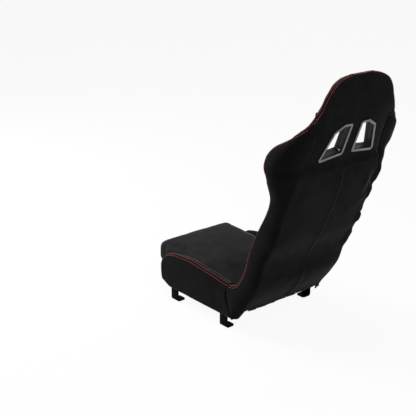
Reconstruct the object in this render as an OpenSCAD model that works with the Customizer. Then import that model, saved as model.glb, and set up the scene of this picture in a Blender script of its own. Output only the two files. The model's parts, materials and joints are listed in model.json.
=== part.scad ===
// Fixed-back racing seat: a bent steel tube frame with rubberised webbing,
// foam pads, a sewn stretch cover, moulded harness bezels and four floor brackets.
//
// Origin: middle of the four floor bolt holes, on the underside of the feet.
// +Z is up, the seat faces -Y, and +X is the sitter's left-hand side.
// Lengths are in millimetres and angles in degrees.

/* [Seat shell] */
// Height of the head's top above the floor
seat_h = 974; // [950:1:990]
// Width across the base, cover to cover
base_w = 450; // [446:1:460]
// Width across the shoulder wings
shoulder_w = 544; // [530:1:560]
// Width across the neck, where the wings end
neck_w = 390; // [384:1:396]
// Width across the head
head_w = 334; // [328:1:340]
// Lean of the back from upright, in degrees
recline = 20.25; // [19:0.25:21.5]
// Height of the rear cover's bottom hem
hem_z = 96; // [94:1:99]
// Distance of the rear hem behind the origin
hem_y = 245; // [243:1:250]
// Reach of the hip wings ahead of the rear face
hip_depth = 125; // [121:1:128]
// Reach of the waist wings ahead of the rear face
waist_depth = 80; // [77:1:86]
// Reach of the shoulder wings ahead of the rear face
shoulder_depth = 100; // [96:1:106]
// Distance of the base's front face ahead of the origin
base_front = 236; // [232:1:240]
// Distance of the rear corner seams behind the origin
corner_y = 170; // [168:1:172]
// Height of the base cover's bottom edge
base_z = 50; // [47:1:53]
// Greatest height of the thigh bolsters
bolster_z = 199; // [194:1:204]

/* [Pads] */
// Width of the seat cushion
cushion_w = 359; // [350:1:360]
// Distance of the cushion's front lip ahead of the origin
cushion_front = 296; // [292:1:300]
// Height of the cushion's front edge
cushion_z = 202; // [198:1:206]
// Width of the centre pads of the back
pad_w = 300; // [290:1:304]
// Depth of the back pad's face ahead of the rear face, at the waist
pad_depth = 66; // [64:1:70]
// Depth of the head pad's face ahead of the rear face
head_depth = 48; // [47:1:52]
// Depth of the shoulder pad's face around the harness slots
harness_depth = 30; // [28:1:33]
// Thickness of the foam under the cushion
base_foam_t = 30; // [28:1:31]
// Thickness of the cover fabric with its scrim
cover_t = 2; // [1.6:0.1:2.2]
// Clearance between soft pieces
soft_gap = 0.3; // [0.3:0.05:0.5]

/* [Frame] */
// Outer diameter of the main hoop
tube_d = 25; // [23:0.5:26]
// Wall of the frame tubes
tube_wall = 1.5; // [1.2:0.1:2.5]
// Outer diameter of the cross tubes
cross_d = 20; // [18:0.5:21]
// Diameter of the wing rods
rod_d = 10; // [8:0.5:11]
// Distance between the hoop's legs at the waist, centre to centre
hoop_w = 340; // [336:1:342]
// Distance of the base rails inside the base's sides, to their centres
rail_inset = 25; // [24:0.5:27]
// Clearance at a weld or a wrapped strap
weld_gap = 0.2; // [0.1:0.05:0.3]
// Width of the webbing straps
strap_w = 38; // [30:1:42]
// Thickness of the webbing straps
strap_t = 2.5; // [2:0.1:2.8]

/* [Harness slots] */
// Distance between the two slots at their inner edges
slot_gap = 40; // [36:1:48]
// Width of a slot's bezel at the bottom
slot_low_w = 117; // [108:1:120]
// Width of a slot's bezel at the top
slot_high_w = 80; // [76:1:84]
// Height of a slot's bezel along the back
slot_h = 134; // [126:1:136]
// Place of the slots' middle on the back, from 0 at the hem to 1 at the head's top
slot_at = 0.748; // [0.745:0.001:0.753]
// Width of a bezel's flange
flange_w = 9; // [7:0.5:10]
// Thickness of a bezel's flange
flange_t = 3; // [2.4:0.2:3.6]
// Wall of a bezel's sleeve
bezel_wall = 2.5; // [2:0.1:3]

/* [Brackets] */
// Distance of the floor bolts inside the brackets' outer faces
hole_inset = 21; // [18:1:24]
// Distance from the front floor bolts to the rear ones
hole_dy = 290; // [280:1:296]
// Diameter of the floor bolt holes
foot_hole_d = 9; // [8.5:0.5:11]
// Height of a bracket from the floor to its seat flange
bracket_h = 61; // [60:1:64]
// Width of the bracket strip
strip_w = 40; // [34:1:44]
// Thickness of the bracket strip
strip_t = 5; // [4:0.5:6]
// Length of a bracket's foot
foot_l = 40; // [36:1:44]
// Thread size of the seat bolts
bolt_d = 8; // [6:1:8]
// Thickness of the mounting plates
plate_t = 4; // [3:0.5:5]

/* [Hidden] */

ROUND = 48;
left = 1;
right = -1;

fabric_dark = [0.07, 0.07, 0.075];
fabric_light = [0.11, 0.11, 0.115];
foam_grey = [0.32, 0.32, 0.33];
powder_black = [0.05, 0.05, 0.055];
frame_grey = [0.2, 0.2, 0.21];
plastic_grey = [0.24, 0.245, 0.25];
zinc = [0.62, 0.62, 0.6];

// ---------------------------------------------------------------- curves

// Smooth curve through [t, value] points, straight where three lie in line
function span(t, p, i = 0) = i >= len(p) - 2 || t < p[i + 1][0] ? i : span(t, p, i + 1);
function chord(p, i) = (p[i + 1][1] - p[i][1]) / (p[i + 1][0] - p[i][0]);
function slope(p, i) =
    i == 0 ? chord(p, 0) :
    i == len(p) - 1 ? chord(p, i - 1) :
    (chord(p, i - 1) + chord(p, i)) / 2;
function curve(t, p) =
    let (i = span(t, p), w = p[i + 1][0] - p[i][0])
    let (u = max(0, min(1, (t - p[i][0]) / w)))
    p[i][1] * (2 * u ^ 3 - 3 * u ^ 2 + 1) + slope(p, i) * w * (u ^ 3 - 2 * u ^ 2 + u)
        + p[i + 1][1] * (3 * u ^ 2 - 2 * u ^ 3) + slope(p, i + 1) * w * (u ^ 3 - u ^ 2);
function ease(a, b, t) =
    let (u = max(0, min(1, (t - a) / (b - a)))) u * u * (3 - 2 * u);
function bezier(a, b, c, d, u) =
    a * (1 - u) ^ 3 + b * 3 * u * (1 - u) ^ 2 + c * 3 * u ^ 2 * (1 - u) + d * u ^ 3;
function unit(v) = v / norm(v);
function mirrored(p) = [-p[0], p[1], p[2]];
function backwards(list) = [for (i = [len(list) - 1:-1:0]) list[i]];
function steps(a, b, n) = [for (i = [0:n]) a + (b - a) * i / n];

// Path moved sideways by d, towards its right as it runs
function right_of(v) = [v[1], -v[0]];
function moved(path, d) = [
    for (i = [0:len(path) - 1])
        let (a = path[max(i - 1, 0)], b = path[min(i + 1, len(path) - 1)])
        path[i] + d * unit(right_of(b - a))
];

// ---------------------------------------------------------------- shell

back_h = seat_h - hem_z;
lean = tan(recline);
shear = 1 / cos(recline);
function height(t) = hem_z + t * back_h;
function share(z) = (z - hem_z) / back_h;
slot_z = height(slot_at);

// Swell of the rear face behind the straight line from hem to head
rear_swell = [
    [-0.053, -28], [0, 0], [0.066, 24], [0.12, 33], [0.19, 25], [0.24, 25], [0.33, 42],
    [0.52, 48], [0.6, 45], [0.632, 41], [0.65, 33], [0.665, 28.9], [0.69, 28.6],
    [0.755, 28.4], [0.82, 28.1], [0.855, 25.5], [0.887, 20], [0.92, 12], [0.97, 2.5], [1, -10]
];
function rear_y(z) = hem_y + (z - hem_z) * lean + curve(share(z), rear_swell);

// Half width to the seams between the rear cover and the side covers
base_x = base_w / 2;
seam_line = [
    [-0.053, base_x - 25], [0, base_x - 32], [0.04, base_x - 25], [0.1, base_x - 20],
    [0.24, base_x - 19], [0.37, base_x - 16], [0.44, base_x - 15], [0.52, base_x - 14],
    [0.61, 199], [0.65, 187], [0.69, 174.5], [0.745, 163], [0.79, 167.5],
    [0.835, 176], [0.86, 173], [0.9, 155], [0.94, 140], [0.972, 112], [1, 42]
];
function seam_x(z) = curve(share(z), seam_line);

// Half width and reach of the wings' front edge, which runs on round the head
waist_x = base_w / 2 - 3;
rim_line = [
    [-0.053, base_w / 2 - 1], [0.08, base_w / 2 - 2], [0.16, waist_x], [0.38, waist_x],
    [0.46, waist_x + 1], [0.53, waist_x + 12], [0.6, shoulder_w / 2 - 14],
    [0.665, shoulder_w / 2], [0.69, shoulder_w / 2], [0.72, shoulder_w / 2 - 4],
    [0.75, shoulder_w / 2 - 13], [0.771, shoulder_w / 2 - 26], [0.803, neck_w / 2 + 33],
    [0.819, neck_w / 2 + 16], [0.836, neck_w / 2 + 5], [0.86, neck_w / 2 - 8],
    [0.887, head_w / 2 + 6.5], [0.904, head_w / 2], [0.921, head_w / 2 - 5],
    [0.9385, head_w / 2 - 14], [0.9556, head_w / 2 - 27], [0.9727, head_w / 2 - 43],
    [0.986, head_w / 2 - 66], [0.993, head_w / 2 - 86], [1, head_w / 2 - 118]
];
rim_reach = [
    [-0.053, hip_depth + 8], [0.084, hip_depth], [0.162, hip_depth - 21],
    [0.224, waist_depth + 19], [0.318, waist_depth + 16], [0.387, waist_depth + 9],
    [0.464, waist_depth], [0.53, waist_depth - 5], [0.625, shoulder_depth - 9],
    [0.645, shoulder_depth - 7], [0.665, shoulder_depth - 5], [0.69, shoulder_depth - 1],
    [0.72, shoulder_depth - 2], [0.75, shoulder_depth - 15], [0.771, shoulder_depth - 37],
    [0.803, 32], [0.819, 22.5], [0.836, 17.5], [0.871, 13.5], [0.89, 11], [0.92, 9.5],
    [0.96, 10.5], [1, 11]
];
function rim_x(z) = curve(share(z), rim_line);
function rim_y(z) = max(corner_y, rear_y(z) - curve(share(z), rim_reach));
function rim_depth(z) = rear_y(z) - rim_y(z);

// Outer skin at height z: q runs 0 to 1 from the middle of the rear face to the seam,
// and 1 to 2 from the seam round the side to the wing's front edge
seam_drop = [
    [-0.053, 8], [0, 6], [0.04, 9], [0.1, 10], [0.18, 5], [0.28, 4], [0.36, 9], [0.42, 13],
    [0.5, 12], [0.56, 10], [0.64, 10], [0.7, 6.5], [0.76, 5.5], [0.8, 7.5], [0.84, 8],
    [0.88, 5], [1, 4]
];
fullness = [[0, 0.55], [0.62, 0.55], [0.7, 0.8], [0.775, 0.85], [0.81, 0.75], [0.84, 0.65], [0.87, 0.5], [1, 0.5]];
function drop(z) = curve(share(z), seam_drop);
function side_point(z, u) =
    let (s = [seam_x(z), rear_y(z) - drop(z)], r = [rim_x(z), rim_y(z)])
    let (bulge = min(8, (s[1] - r[1]) * 0.12), full = curve(share(z), fullness))
    bezier(
        s,
        [s[0] + full * (r[0] - s[0]) + 1.5 * bulge, s[1] - 1],
        [r[0] + bulge, r[1] + 0.5 * (s[1] - r[1])],
        r, u
    );
function skin(z, q) =
    q <= 1 ? [seam_x(z) * q, rear_y(z) - drop(z) * abs(q) ^ 4] : side_point(z, q - 1);

// Level line d ahead of the rear face's skin, x from the middle
function under(z, x, d) = rear_y(z) - drop(z) * min(1, x / seam_x(z)) ^ 4 - d;

// Where on the side, from 0 to 1, the skin is d ahead of the rear face
function side_at(z, d, lo = 0, hi = 1, n = 12) =
    n == 0 ? lo :
    let (mid = (lo + hi) / 2)
    rear_y(z) - side_point(z, mid)[1] > d
        ? side_at(z, d, lo, mid, n - 1)
        : side_at(z, d, mid, hi, n - 1);

// The rear cover stops at the seams, and above the neck it wraps the head's edge
low_tube_z = slot_z - slot_h / 2 - cross_d / 2 - 27;
high_tube_z = slot_z + slot_h / 2 + cross_d / 2 + 20;
head_split = high_tube_z + cross_d / 2 + 1;
function seam_q(z) = 1 + ease(head_split, head_split + 4, z);

// ---------------------------------------------------------------- layers

// Depths are measured level, so a thickness square to the leaning face grows by shear
layer = (cover_t + soft_gap) * shear;
under_covers = 2 * layer;
lap = 8;
upper_hem_z = slot_z - slot_h / 2 - 36;
strap_r = tube_d / 2 + weld_gap + strap_t;
hoop_inset = under_covers + (strap_r + weld_gap) * shear + 2;

// ---------------------------------------------------------------- solids by sections

// Closed solid through rings of points. Each ring has the same count and runs
// clockwise as seen from the end that the rings lead to
module loft(rings) {
    n = len(rings[0]);
    m = len(rings);
    polyhedron(
        points = [for (ring = rings) each ring],
        faces = concat(skin_faces(n, m), [[for (i = [n - 1:-1:0]) i], [for (i = [0:n - 1]) (m - 1) * n + i]])
    );
}
function skin_faces(n, m, o = 0) = [
    for (j = [0:m - 2], i = [0:n - 1])
        let (k = (i + 1) % n, a = o + j * n, b = a + n)
        each [[a + i, a + k, b + k], [a + i, b + k, b + i]]
];
function level(path, z) = [for (p = path) [p[0], p[1], z]];
function upright(path, y) = [for (p = path) [p[0], y, p[1]]];
function closed(half) =
    concat(half, [for (p = backwards(half)) if (p[0] > 0) concat([-p[0]], [for (i = [1:len(p) - 1]) p[i]])]);
function both_sides(half) = concat([for (i = [len(half) - 1:-1:1]) [-half[i][0], half[i][1]]], half);

// Ring of a sheet between an outer path and the same path moved in by t
function sheet(path, t) = concat(path, backwards(moved(path, t)));

// Frames along a path, turned as little as possible from one to the next
function heading(p, i) = unit(p[min(i + 1, len(p) - 1)] - p[max(i - 1, 0)]);
function frames(p, i = 0, x = [0, 0, 1]) =
    i == len(p) ? [] :
    let (d = heading(p, i))
    let (side = unit(x - d * (d * x)))
    concat([[p[i], side, cross(side, d)]], frames(p, i + 1, side));
function around(f, r, sides) = [
    for (k = [0:sides - 1]) f[0] + r * (cos(k * 360 / sides) * f[1] + sin(k * 360 / sides) * f[2])
];

// Round bar along a path or, with a wall, a hollow tube
module swept(path, r, sides, wall = 0) {
    f = frames(path);
    outer = [for (x = f) around(x, r, sides)];
    if (wall == 0) loft(outer);
    else hollow(outer, [for (x = f) around(x, r - wall, sides)]);
}
module hollow(outer, inner) {
    n = len(outer[0]);
    m = len(outer);
    turned = [for (t = skin_faces(n, m, m * n)) backwards(t)];
    near = [for (i = [0:n - 1]) let (k = (i + 1) % n, o = m * n) each [[i, o + k, k], [i, o + i, o + k]]];
    far = [
        for (i = [0:n - 1])
            let (k = (i + 1) % n, a = (m - 1) * n, o = a + m * n)
            each [[a + i, a + k, o + k], [a + i, o + k, o + i]]
    ];
    polyhedron(
        points = [for (ring = concat(outer, inner)) each ring],
        faces = concat(skin_faces(n, m), turned, near, far)
    );
}

// Path with its corners rounded to the bend radii, in n steps each
function bend(a, b, c, r, n) =
    let (u = unit(b - a), v = unit(c - b))
    let (turn = acos(max(-1, min(1, u * v))), side = unit(v - u * (u * v)))
    let (centre = b - u * r * tan(turn / 2) + side * r)
    [for (i = [0:n]) centre + r * (u * sin(turn * i / n) - side * cos(turn * i / n))];
function rounded_path(pts, radii, n) = concat(
    [pts[0]],
    [for (i = [1:len(pts) - 2]) each bend(pts[i - 1], pts[i], pts[i + 1], radii[i], n[i])],
    [pts[len(pts) - 1]]
);

// Convex outline with its sides moved out by d and its corners rounded
function pushed(p, i, d) =
    let (n = len(p), u = unit(p[i] - p[(i + n - 1) % n]), v = unit(p[(i + 1) % n] - p[i]))
    let (a = right_of(u), b = right_of(v))
    p[i] + d * (a + b) / (1 + a * b);
function outline(p, d, r, n = 5) =
    let (q = [for (i = [0:len(p) - 1]) pushed(p, i, d)], m = len(p))
    [for (i = [0:m - 1]) each bend(q[(i + m - 1) % m], q[i], q[(i + 1) % m], r + d, n)];

module between(a, b) {
    d = unit(b - a);
    translate(a) rotate([0, acos(d[2]), atan2(d[1], d[0])]) children();
}
module pipe(a, b, d, wall) {
    between(a, b) difference() {
        cylinder(h = norm(b - a), d = d, $fn = ROUND);
        translate([0, 0, -1]) cylinder(h = norm(b - a) + 2, d = d - 2 * wall, $fn = ROUND);
    }
}
module on_side(side) {
    if (side == left) children();
    else mirror([1, 0, 0]) children();
}

// ---------------------------------------------------------------- frame

rail_z = bracket_h + plate_t + weld_gap + tube_d / 2;
rail_x = base_w / 2 - rail_inset;
hoop_x = hoop_w / 2;
front_tube_y = -(base_front - layer - cross_d / 2 - 6);
rail_end_y = front_tube_y + cross_d / 2 + weld_gap;
knee_y = rear_y(hem_z) - tube_d - 15;
function leg_point(x, t) = [x, rear_y(height(t)) - hoop_inset, height(t)];

// Half of the hoop, from the rail's front end to the top corner of the head
hoop_half = [
    [rail_x, rail_end_y, rail_z], [rail_x, knee_y, rail_z], leg_point(hoop_x, 0.25),
    leg_point(hoop_x, 0.41), leg_point(hoop_x, 0.62), leg_point(hoop_x - 2, 0.685),
    leg_point(neck_w / 2 - 31, 0.86),
    leg_point(head_w / 2 - 58, 0.945)
];
hoop_radii = [0, 50, 120, 300, 160, 160, 60, 48];
hoop_steps = [0, 6, 2, 1, 2, 2, 3, 5];
hoop_path = rounded_path(
    concat(hoop_half, backwards([for (p = hoop_half) mirrored(p)])),
    concat(hoop_radii, backwards(hoop_radii)),
    concat(hoop_steps, backwards(hoop_steps))
);
leg_table = [for (p = hoop_path) if (p[0] > 0 && p[2] > rail_z + 4) p];
function leg_x(z) = lookup(z, [for (p = leg_table) [p[2], p[0]]]);
function leg_y(z) = lookup(z, [for (p = leg_table) [p[2], p[1]]]);
function leg_at(z) = [leg_x(z), leg_y(z), z];

module main_hoop() {
    color(frame_grey) swept(hoop_path, tube_d / 2, 12, tube_wall);
}

// Cross tubes, coped to the legs that they are welded to
module coped(p, d, a, b) {
    reach = b - a;
    color(frame_grey) difference() {
        pipe(mirrored(p), p, d, tube_wall);
        for (side = [left, right]) on_side(side) between(a - reach, b + reach)
            cylinder(h = 3 * norm(reach), d = tube_d + 2 * weld_gap, $fn = ROUND);
    }
}
module cross_tube_at(z, d) {
    coped(leg_at(z), d, leg_at(z - 12), leg_at(z + 12));
}
module front_cross_tube() {
    end = [rail_x + tube_d / 2, front_tube_y, rail_z];
    color(frame_grey) pipe(mirrored(end), end, cross_d, tube_wall);
}
rear_tube_y = hole_dy / 2 - 17 - cross_d / 2;
module rear_cross_tube() {
    p = [rail_x, rear_tube_y, rail_z];
    coped(p, cross_d, p - [0, 20, 0], p + [0, 20, 0]);
}
hem_tube_z = hem_z - 5;
hem_tube_d = cross_d - 2;
hem_tube_y = rear_y(hem_tube_z) - under_covers - (hem_tube_d / 2 + 2) * shear;
module hem_tube() {
    coped(
        [leg_x(hem_tube_z), hem_tube_y, hem_tube_z], hem_tube_d,
        leg_at(hem_tube_z - 3), leg_at(hem_tube_z + 9)
    );
}
module lumbar_cross_tube() { cross_tube_at(height(0.245), cross_d); }
module lower_harness_tube() { cross_tube_at(low_tube_z, cross_d); }
module upper_harness_tube() { cross_tube_at(high_tube_z, cross_d); }

// Bent rods that carry the foot of each shoulder wing, just inside the side cover
rod_reach = 26;
function rod_point(z) =
    let (u = side_at(z, rod_reach))
    let (way = unit(side_point(z, u + 0.02) - side_point(z, u)))
    let (p = side_point(z, u) + right_of(way) * (layer + rod_d / 2 + 1) * shear)
    [p[0], p[1], z];
module wing_rod(side) {
    weld = [tube_d / 2 + weld_gap, 0, 0];
    stand = [6, 0, 0];
    low = leg_at(height(0.42)) + weld;
    high = leg_at(height(0.79)) + weld;
    color(frame_grey) on_side(side) swept(
        concat([low, low + stand], [for (t = steps(0.48, 0.745, 7)) rod_point(height(t))], [high + stand, high]),
        rod_d / 2, 10
    );
}

// Plates under the rails, with nuts welded on, that the brackets bolt to
bolt_x = rail_x - 28;
plate_l = 50;
nut_h = 0.8 * bolt_d;
hex_d = bolt_d * 1.625 / cos(30);
module at_bolts() {
    for (side = [left, right], y = [-1, 1]) translate([side * bolt_x, y * hole_dy / 2, 0]) children();
}
module mount_plates() {
    inner = bolt_x - 14;
    outer = rail_x + tube_d / 2 - 1;
    color(frame_grey) for (side = [left, right], y = [-1, 1]) on_side(side)
        translate([0, y * hole_dy / 2, bracket_h]) difference() {
            linear_extrude(height = plate_t) polygon(outline(
                [[inner, -plate_l / 2], [outer, -plate_l / 2], [outer, plate_l / 2], [inner, plate_l / 2]],
                0, 5
            ));
            translate([bolt_x, 0, -1]) cylinder(h = plate_t + 2, d = bolt_d + 1, $fn = ROUND);
        }
}
module weld_nuts() {
    color(zinc) at_bolts() translate([0, 0, bracket_h + plate_t]) difference() {
        cylinder(h = nut_h, d = hex_d, $fn = 6);
        translate([0, 0, -1]) cylinder(h = nut_h + 2, d = bolt_d + 0.2, $fn = ROUND);
    }
}

// Webbing straps, each looped round a tube at both ends
function strap_path(half) =
    let (r = tube_d / 2 + weld_gap)
    concat(
        [for (a = steps(-30, 270, 12)) [-half + r * cos(a), r * sin(a)]],
        [for (a = steps(-90, 210, 12)) [half + r * cos(a), r * sin(a)]]
    );
module strap(half) {
    linear_extrude(height = strap_w, center = true) polygon(sheet(strap_path(half), strap_t));
}
first_strap_y = -hole_dy / 2 + plate_l / 2 + 2 + strap_w / 2;
last_strap_y = rear_tube_y - cross_d / 2 - 2 - strap_w / 2;
module seat_webbing() {
    color(fabric_dark) for (y = steps(first_strap_y, last_strap_y, 4))
        translate([0, y, rail_z]) rotate([-90, 0, 0]) strap(rail_x);
}
module back_webbing() {
    color(fabric_dark) for (t = [0.3, 0.355, 0.465, 0.52, 0.575]) {
        z = height(t);
        way = leg_at(z + 10) - leg_at(z - 10);
        translate([0, leg_y(z), z]) rotate([-atan2(way[1], way[2]), 0, 0]) strap(hoop_x);
    }
}

// ---------------------------------------------------------------- pads

face_line = [
    [0.03, 98], [0.1, 88], [0.19, pad_depth + 9], [0.3, pad_depth + 2], [0.45, pad_depth],
    [0.62, pad_depth], [0.67, pad_depth - 6], [0.87, pad_depth - 7], [0.9, head_depth + 2], [0.96, head_depth],
    [0.978, head_depth - 5], [0.99, head_depth - 15], [1, head_depth - 28]
];
slot_foot = slot_z - slot_h / 2 + 2;
slot_head = slot_z + slot_h / 2 + 2;
function recess(z) = ease(slot_foot - 34, slot_foot - 6, z) * (1 - ease(slot_head + 4, slot_head + 30, z));
function face_depth(z) =
    let (d = min(curve(share(z), face_line), rear_y(z) - corner_y - 4))
    d + (harness_depth - d) * recess(z);
function pad_back(z) =
    let (b = back_depth(z), clear = ease(low_tube_z + cross_d / 2 + 1, low_tube_z + cross_d / 2 + 11, z))
    b + (layer + 1 - b) * clear * (1 - ease(high_tube_z - cross_d / 2 - 12, high_tube_z - cross_d / 2 - 2, z));
function back_depth(z) = rear_y(z) - leg_y(z) + (strap_r + soft_gap) * shear + 1;

base_foam_z = rail_z + strap_r + soft_gap;
base_top = base_foam_z + base_foam_t;
cushion_back = corner_y - 6;
pad_x = pad_w / 2 - soft_gap;
pad_split = low_tube_z - cross_d / 2 - 6;

module base_foam() {
    half = pad_w / 2 + 28;
    front = base_front - layer - 6;
    back = hem_tube_y - hem_tube_d / 2 - 12;
    color(foam_grey) translate([0, 0, base_foam_z]) linear_extrude(height = base_foam_t)
        polygon(outline([[-half, -front], [half, -front], [half, back], [-half, back]], 0, 18));
}

// Seat cushion: crowned top, drawn-in sides and a rounded lip over the base's front
cushion_top = [
    [-1, 1], [-0.9, 1], [-0.6, 0.97], [-0.3, 0.9], [0, 0.78], [0.3, 0.62], [0.6, 0.42], [0.85, 0.28], [1, 0.25]
];
cushion_rise = cushion_z - base_top;
function cushion_half(w, top, bottom) =
    let (h = top - bottom, r = min(15, h * 0.32), crown = min(7, h * 0.12))
    [
        [0, top], [w * 0.4, top - crown * 0.15], [w * 0.75, top - crown * 0.6],
        [w - r * 1.1, top - crown], [w - r * 0.35, top - crown - r * 0.35],
        [w, top - crown - r * 1.2], [w - 2, (top + bottom) / 2], [w - 0.5, bottom + r],
        [w - r * 0.4, bottom + r * 0.3], [w - r * 1.3, bottom], [0, bottom]
    ];
lip = cushion_front - base_front;
lip_nose = [[0, 0.5], [0.06, 0.76], [0.2, 0.93], [0.45, 1]];
function cushion_ring(y) =
    let (w = cushion_w / 2, ahead = -base_front - 3 - y)
    let (run = y < 0 ? y / cushion_front : y / cushion_back)
    let (near = (y + cushion_front) / lip, tail = (cushion_back - y) / 24)
    let (full = near < 0.9 ? curve(near, lip_nose) : 1)
    let (top_z = base_top + cushion_rise * curve(run, cushion_top))
    let (mid = base_top + 24)
    let (bottom_z = ahead > 0 ? base_top - 14 * ease(0, 6, ahead) : base_top + soft_gap)
    let (top = mid + (top_z - mid) * full, bottom = mid + (bottom_z - mid) * full)
    upright(
        cushion_half(
            w - 16 * (1 - full),
            tail < 1 ? base_top + 6 + (top - base_top - 6) * sqrt(max(0.04, 1 - (1 - tail) ^ 2)) : top,
            bottom
        ), y
    );
cushion_stations = concat(
    [cushion_back, cushion_back - 3, cushion_back - 10, cushion_back - 24],
    steps(cushion_back - 50, -base_front + 4, 8),
    [-base_front - 3, -base_front - 9],
    [for (f = [0.6, 0.45, 0.2, 0.06, 0]) -cushion_front + lip * f]
);
module seat_cushion() {
    color(fabric_light) loft([for (y = cushion_stations) closed(cushion_ring(y))]);
}
// Thigh bolsters, between the cushion and the base cover
ridge_line = [
    [-236, -50], [-226, -42], [-212, -34], [-200, -28], [-180, -14], [-146, -4], [-95, -1], [-40, 0],
    [5, -1], [45, -9], [75, -20], [110, -29], [140, -38], [160, -45], [172, -50]
];
function ridge_z(y) = bolster_z + curve(y, ridge_line);
corner_r = 26;
flank_x = base_w / 2 - 1.5;
corner_start = base_front - corner_r;
function flank_at(y, d) =
    flank_x - corner_r + sqrt(max(1, (corner_r - d) ^ 2 - max(0, -y - corner_start) ^ 2));

// Outward bulge of the base cover from its hem, 0, to its stitched ridge, 1
flank_bulge = [[0, 0], [0.2, 2], [0.5, 3], [0.75, 2], [0.88, -1], [0.95, -4], [1, -9]];
flank_heights = [1, 0.95, 0.88, 0.78, 0.6, 0.4, 0.2, 0];

module base_bolster(side) {
    inner = cushion_w / 2 + 2 * soft_gap;
    stations = concat(
        steps(corner_y - 5, -corner_start, 10), [for (f = [0.45, 0.75]) -corner_start - f * corner_r]
    );
    color(fabric_light) on_side(side) loft([
        for (y = stations)
            let (top = ridge_z(y), low = base_foam_z, x = flank_at(y, layer))
            let (h = top - low)
            upright(
                [
                    [inner, top - 12], [inner + 8, top - 6], [x - 22, top - 3.5],
                    [x - 10.5, top - 3], [x - 4.5, top - 0.08 * h], [x - 1, top - 0.18 * h],
                    [x + 0.5, top - 0.45 * h], [x, low], [inner, low]
                ], y
            )
    ]);
}

// Lumbar and waist pad, crowned, with its sides drawn in
function block_half(z, crown, x) =
    let (r = rear_y(z), f = face_depth(z), b = pad_back(z), d = f - b)
    [
        [x - 20, min(r - b, under(z, x - 20, layer + 1)) + 0.4], [x - 3, min(r - b, under(z, x - 3, layer + 1))],
        [x, min(r - b, under(z, x, layer + 1)) - min(3, d * 0.2)], [x - 1.2, r - b - d * 0.45],
        [x - 0.5, r - b - d * 0.75], [x - 5, r - f + d * 0.06], [x - 14, r - f - crown * 0.25],
        [x * 0.6, r - f - crown * 0.8], [x * 0.3, r - f - crown], [0, r - f - crown]
    ];
module back_pad() {
    z0 = base_top + soft_gap;
    z1 = pad_split - soft_gap;
    n = 16;
    color(fabric_light) loft([
        for (i = [0:n])
            let (z = z0 + (z1 - z0) * i / n, end = min(i, n - i))
            level(closed(block_half(z, end == 0 ? 0 : end == 1 ? 3 : 5, pad_x - (end == 0 ? 4 : 0))), z)
    ]);
}

// Wings: foam between the side cover and the centre pads
function nose_depth(z) =
    min(max(rim_depth(z) + 5, face_depth(z), back_depth(z) + 12), rear_y(z) - corner_y - 2);
function wing_ring(z) =
    let (r = rear_y(z), b = back_depth(z) + 2.5, f = max(face_depth(z), b + 8), e = rim_depth(z), d = nose_depth(z))
    let (x = rim_x(z), inner = pad_w / 2 + soft_gap, u0 = min(z < height(0.79) ? 1 : 0.75, side_at(z, b)))
    let (skin_in = moved([for (u = steps(u0, 0.97, 5)) side_point(z, u)], layer))
    let (nose = d - e, taper = 0.5 * max(0, nose - 6))
    concat(
        [[inner, r - b], [skin_in[0][0] - 2, r - b]],
        skin_in,
        [
            [x - 1.8 - taper * 0.25, r - e - nose * 0.4], [x - 7 - taper, r - e - nose * 0.85],
            [x - 17 - taper, r - d], [(x - 17 - taper + inner) / 2, r - (d + f) / 2 + 2], [inner, r - f]
        ]
    );
module wing_pad(side) {
    z0 = base_top + 3;
    color(fabric_dark) on_side(side)
        loft([for (z = steps(z0, head_split - 1, 24)) level(wing_ring(z), z)]);
}

// Upper pads: the shoulder pad with the harness slots, and the cap over the head's tube
module shoulder_pad() {
    low = low_tube_z + cross_d / 2;
    high = high_tube_z - cross_d / 2;
    stations = concat(
        steps(pad_split, low + 1, 3), steps(low + 6, low + 24, 3), [slot_z],
        steps(high - 14, high - 2, 3), steps(high + 3, head_split - 1, 3)
    );
    color(fabric_light) difference() {
        loft([for (z = stations) level(closed(block_half(z, 0, pad_x)), z)]);
        for (side = [left, right]) slot_cut(side);
    }
}
hoop_top = height(0.945) + tube_d / 2;
function head_half(z) =
    let (r = rear_y(z), f = face_depth(z), e = rim_depth(z), x = rim_x(z))
    let (over = ease(hoop_top + 1, hoop_top + 5, z))
    let (skin_in = moved([for (u = steps(0.35, 0.97, 3)) side_point(z, u)], layer))
    let (flange = min(leg_x(z) + tube_d / 2 + 3, skin_in[0][0] - 4))
    let (b = (r - leg_y(min(z, height(0.93))) + tube_d / 2 * shear + 2) * (1 - over) + (layer + 1.5) * over)
    let (d = f - e)
    let (k = d / 37)
    concat(
        [
            [flange * 0.7, min(r - b, under(z, flange * 0.7, layer + 1)) + 0.4],
            [flange, min(r - b, under(z, flange, layer + 1))],
            [flange + 0.6, under(z, flange, layer + 0.8)]
        ],
        skin_in,
        [
            [x + 0.2, r - e - 0.5], [x + 1.5 * k, r - e - d * 0.1], [x - 2 * k, r - e - d * 0.3],
            [x - 10 * k, r - e - d * 0.57], [x - 18 * k, r - e - d * 0.78],
            [x - 32 * k, r - f + d * 0.04], [x * 0.45, r - f - 1.5], [0, r - f - 2]
        ]
    );
module head_pad() {
    color(fabric_dark) loft([
        for (z = concat(
            steps(head_split + 1, hoop_top + 1, 6), [hoop_top + 5],
            [for (t = [0.975, 0.984, 0.991, 0.996, 1]) height(t)]
        )) level(closed(head_half(z)), z)
    ]);
}

// ---------------------------------------------------------------- covers

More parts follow.
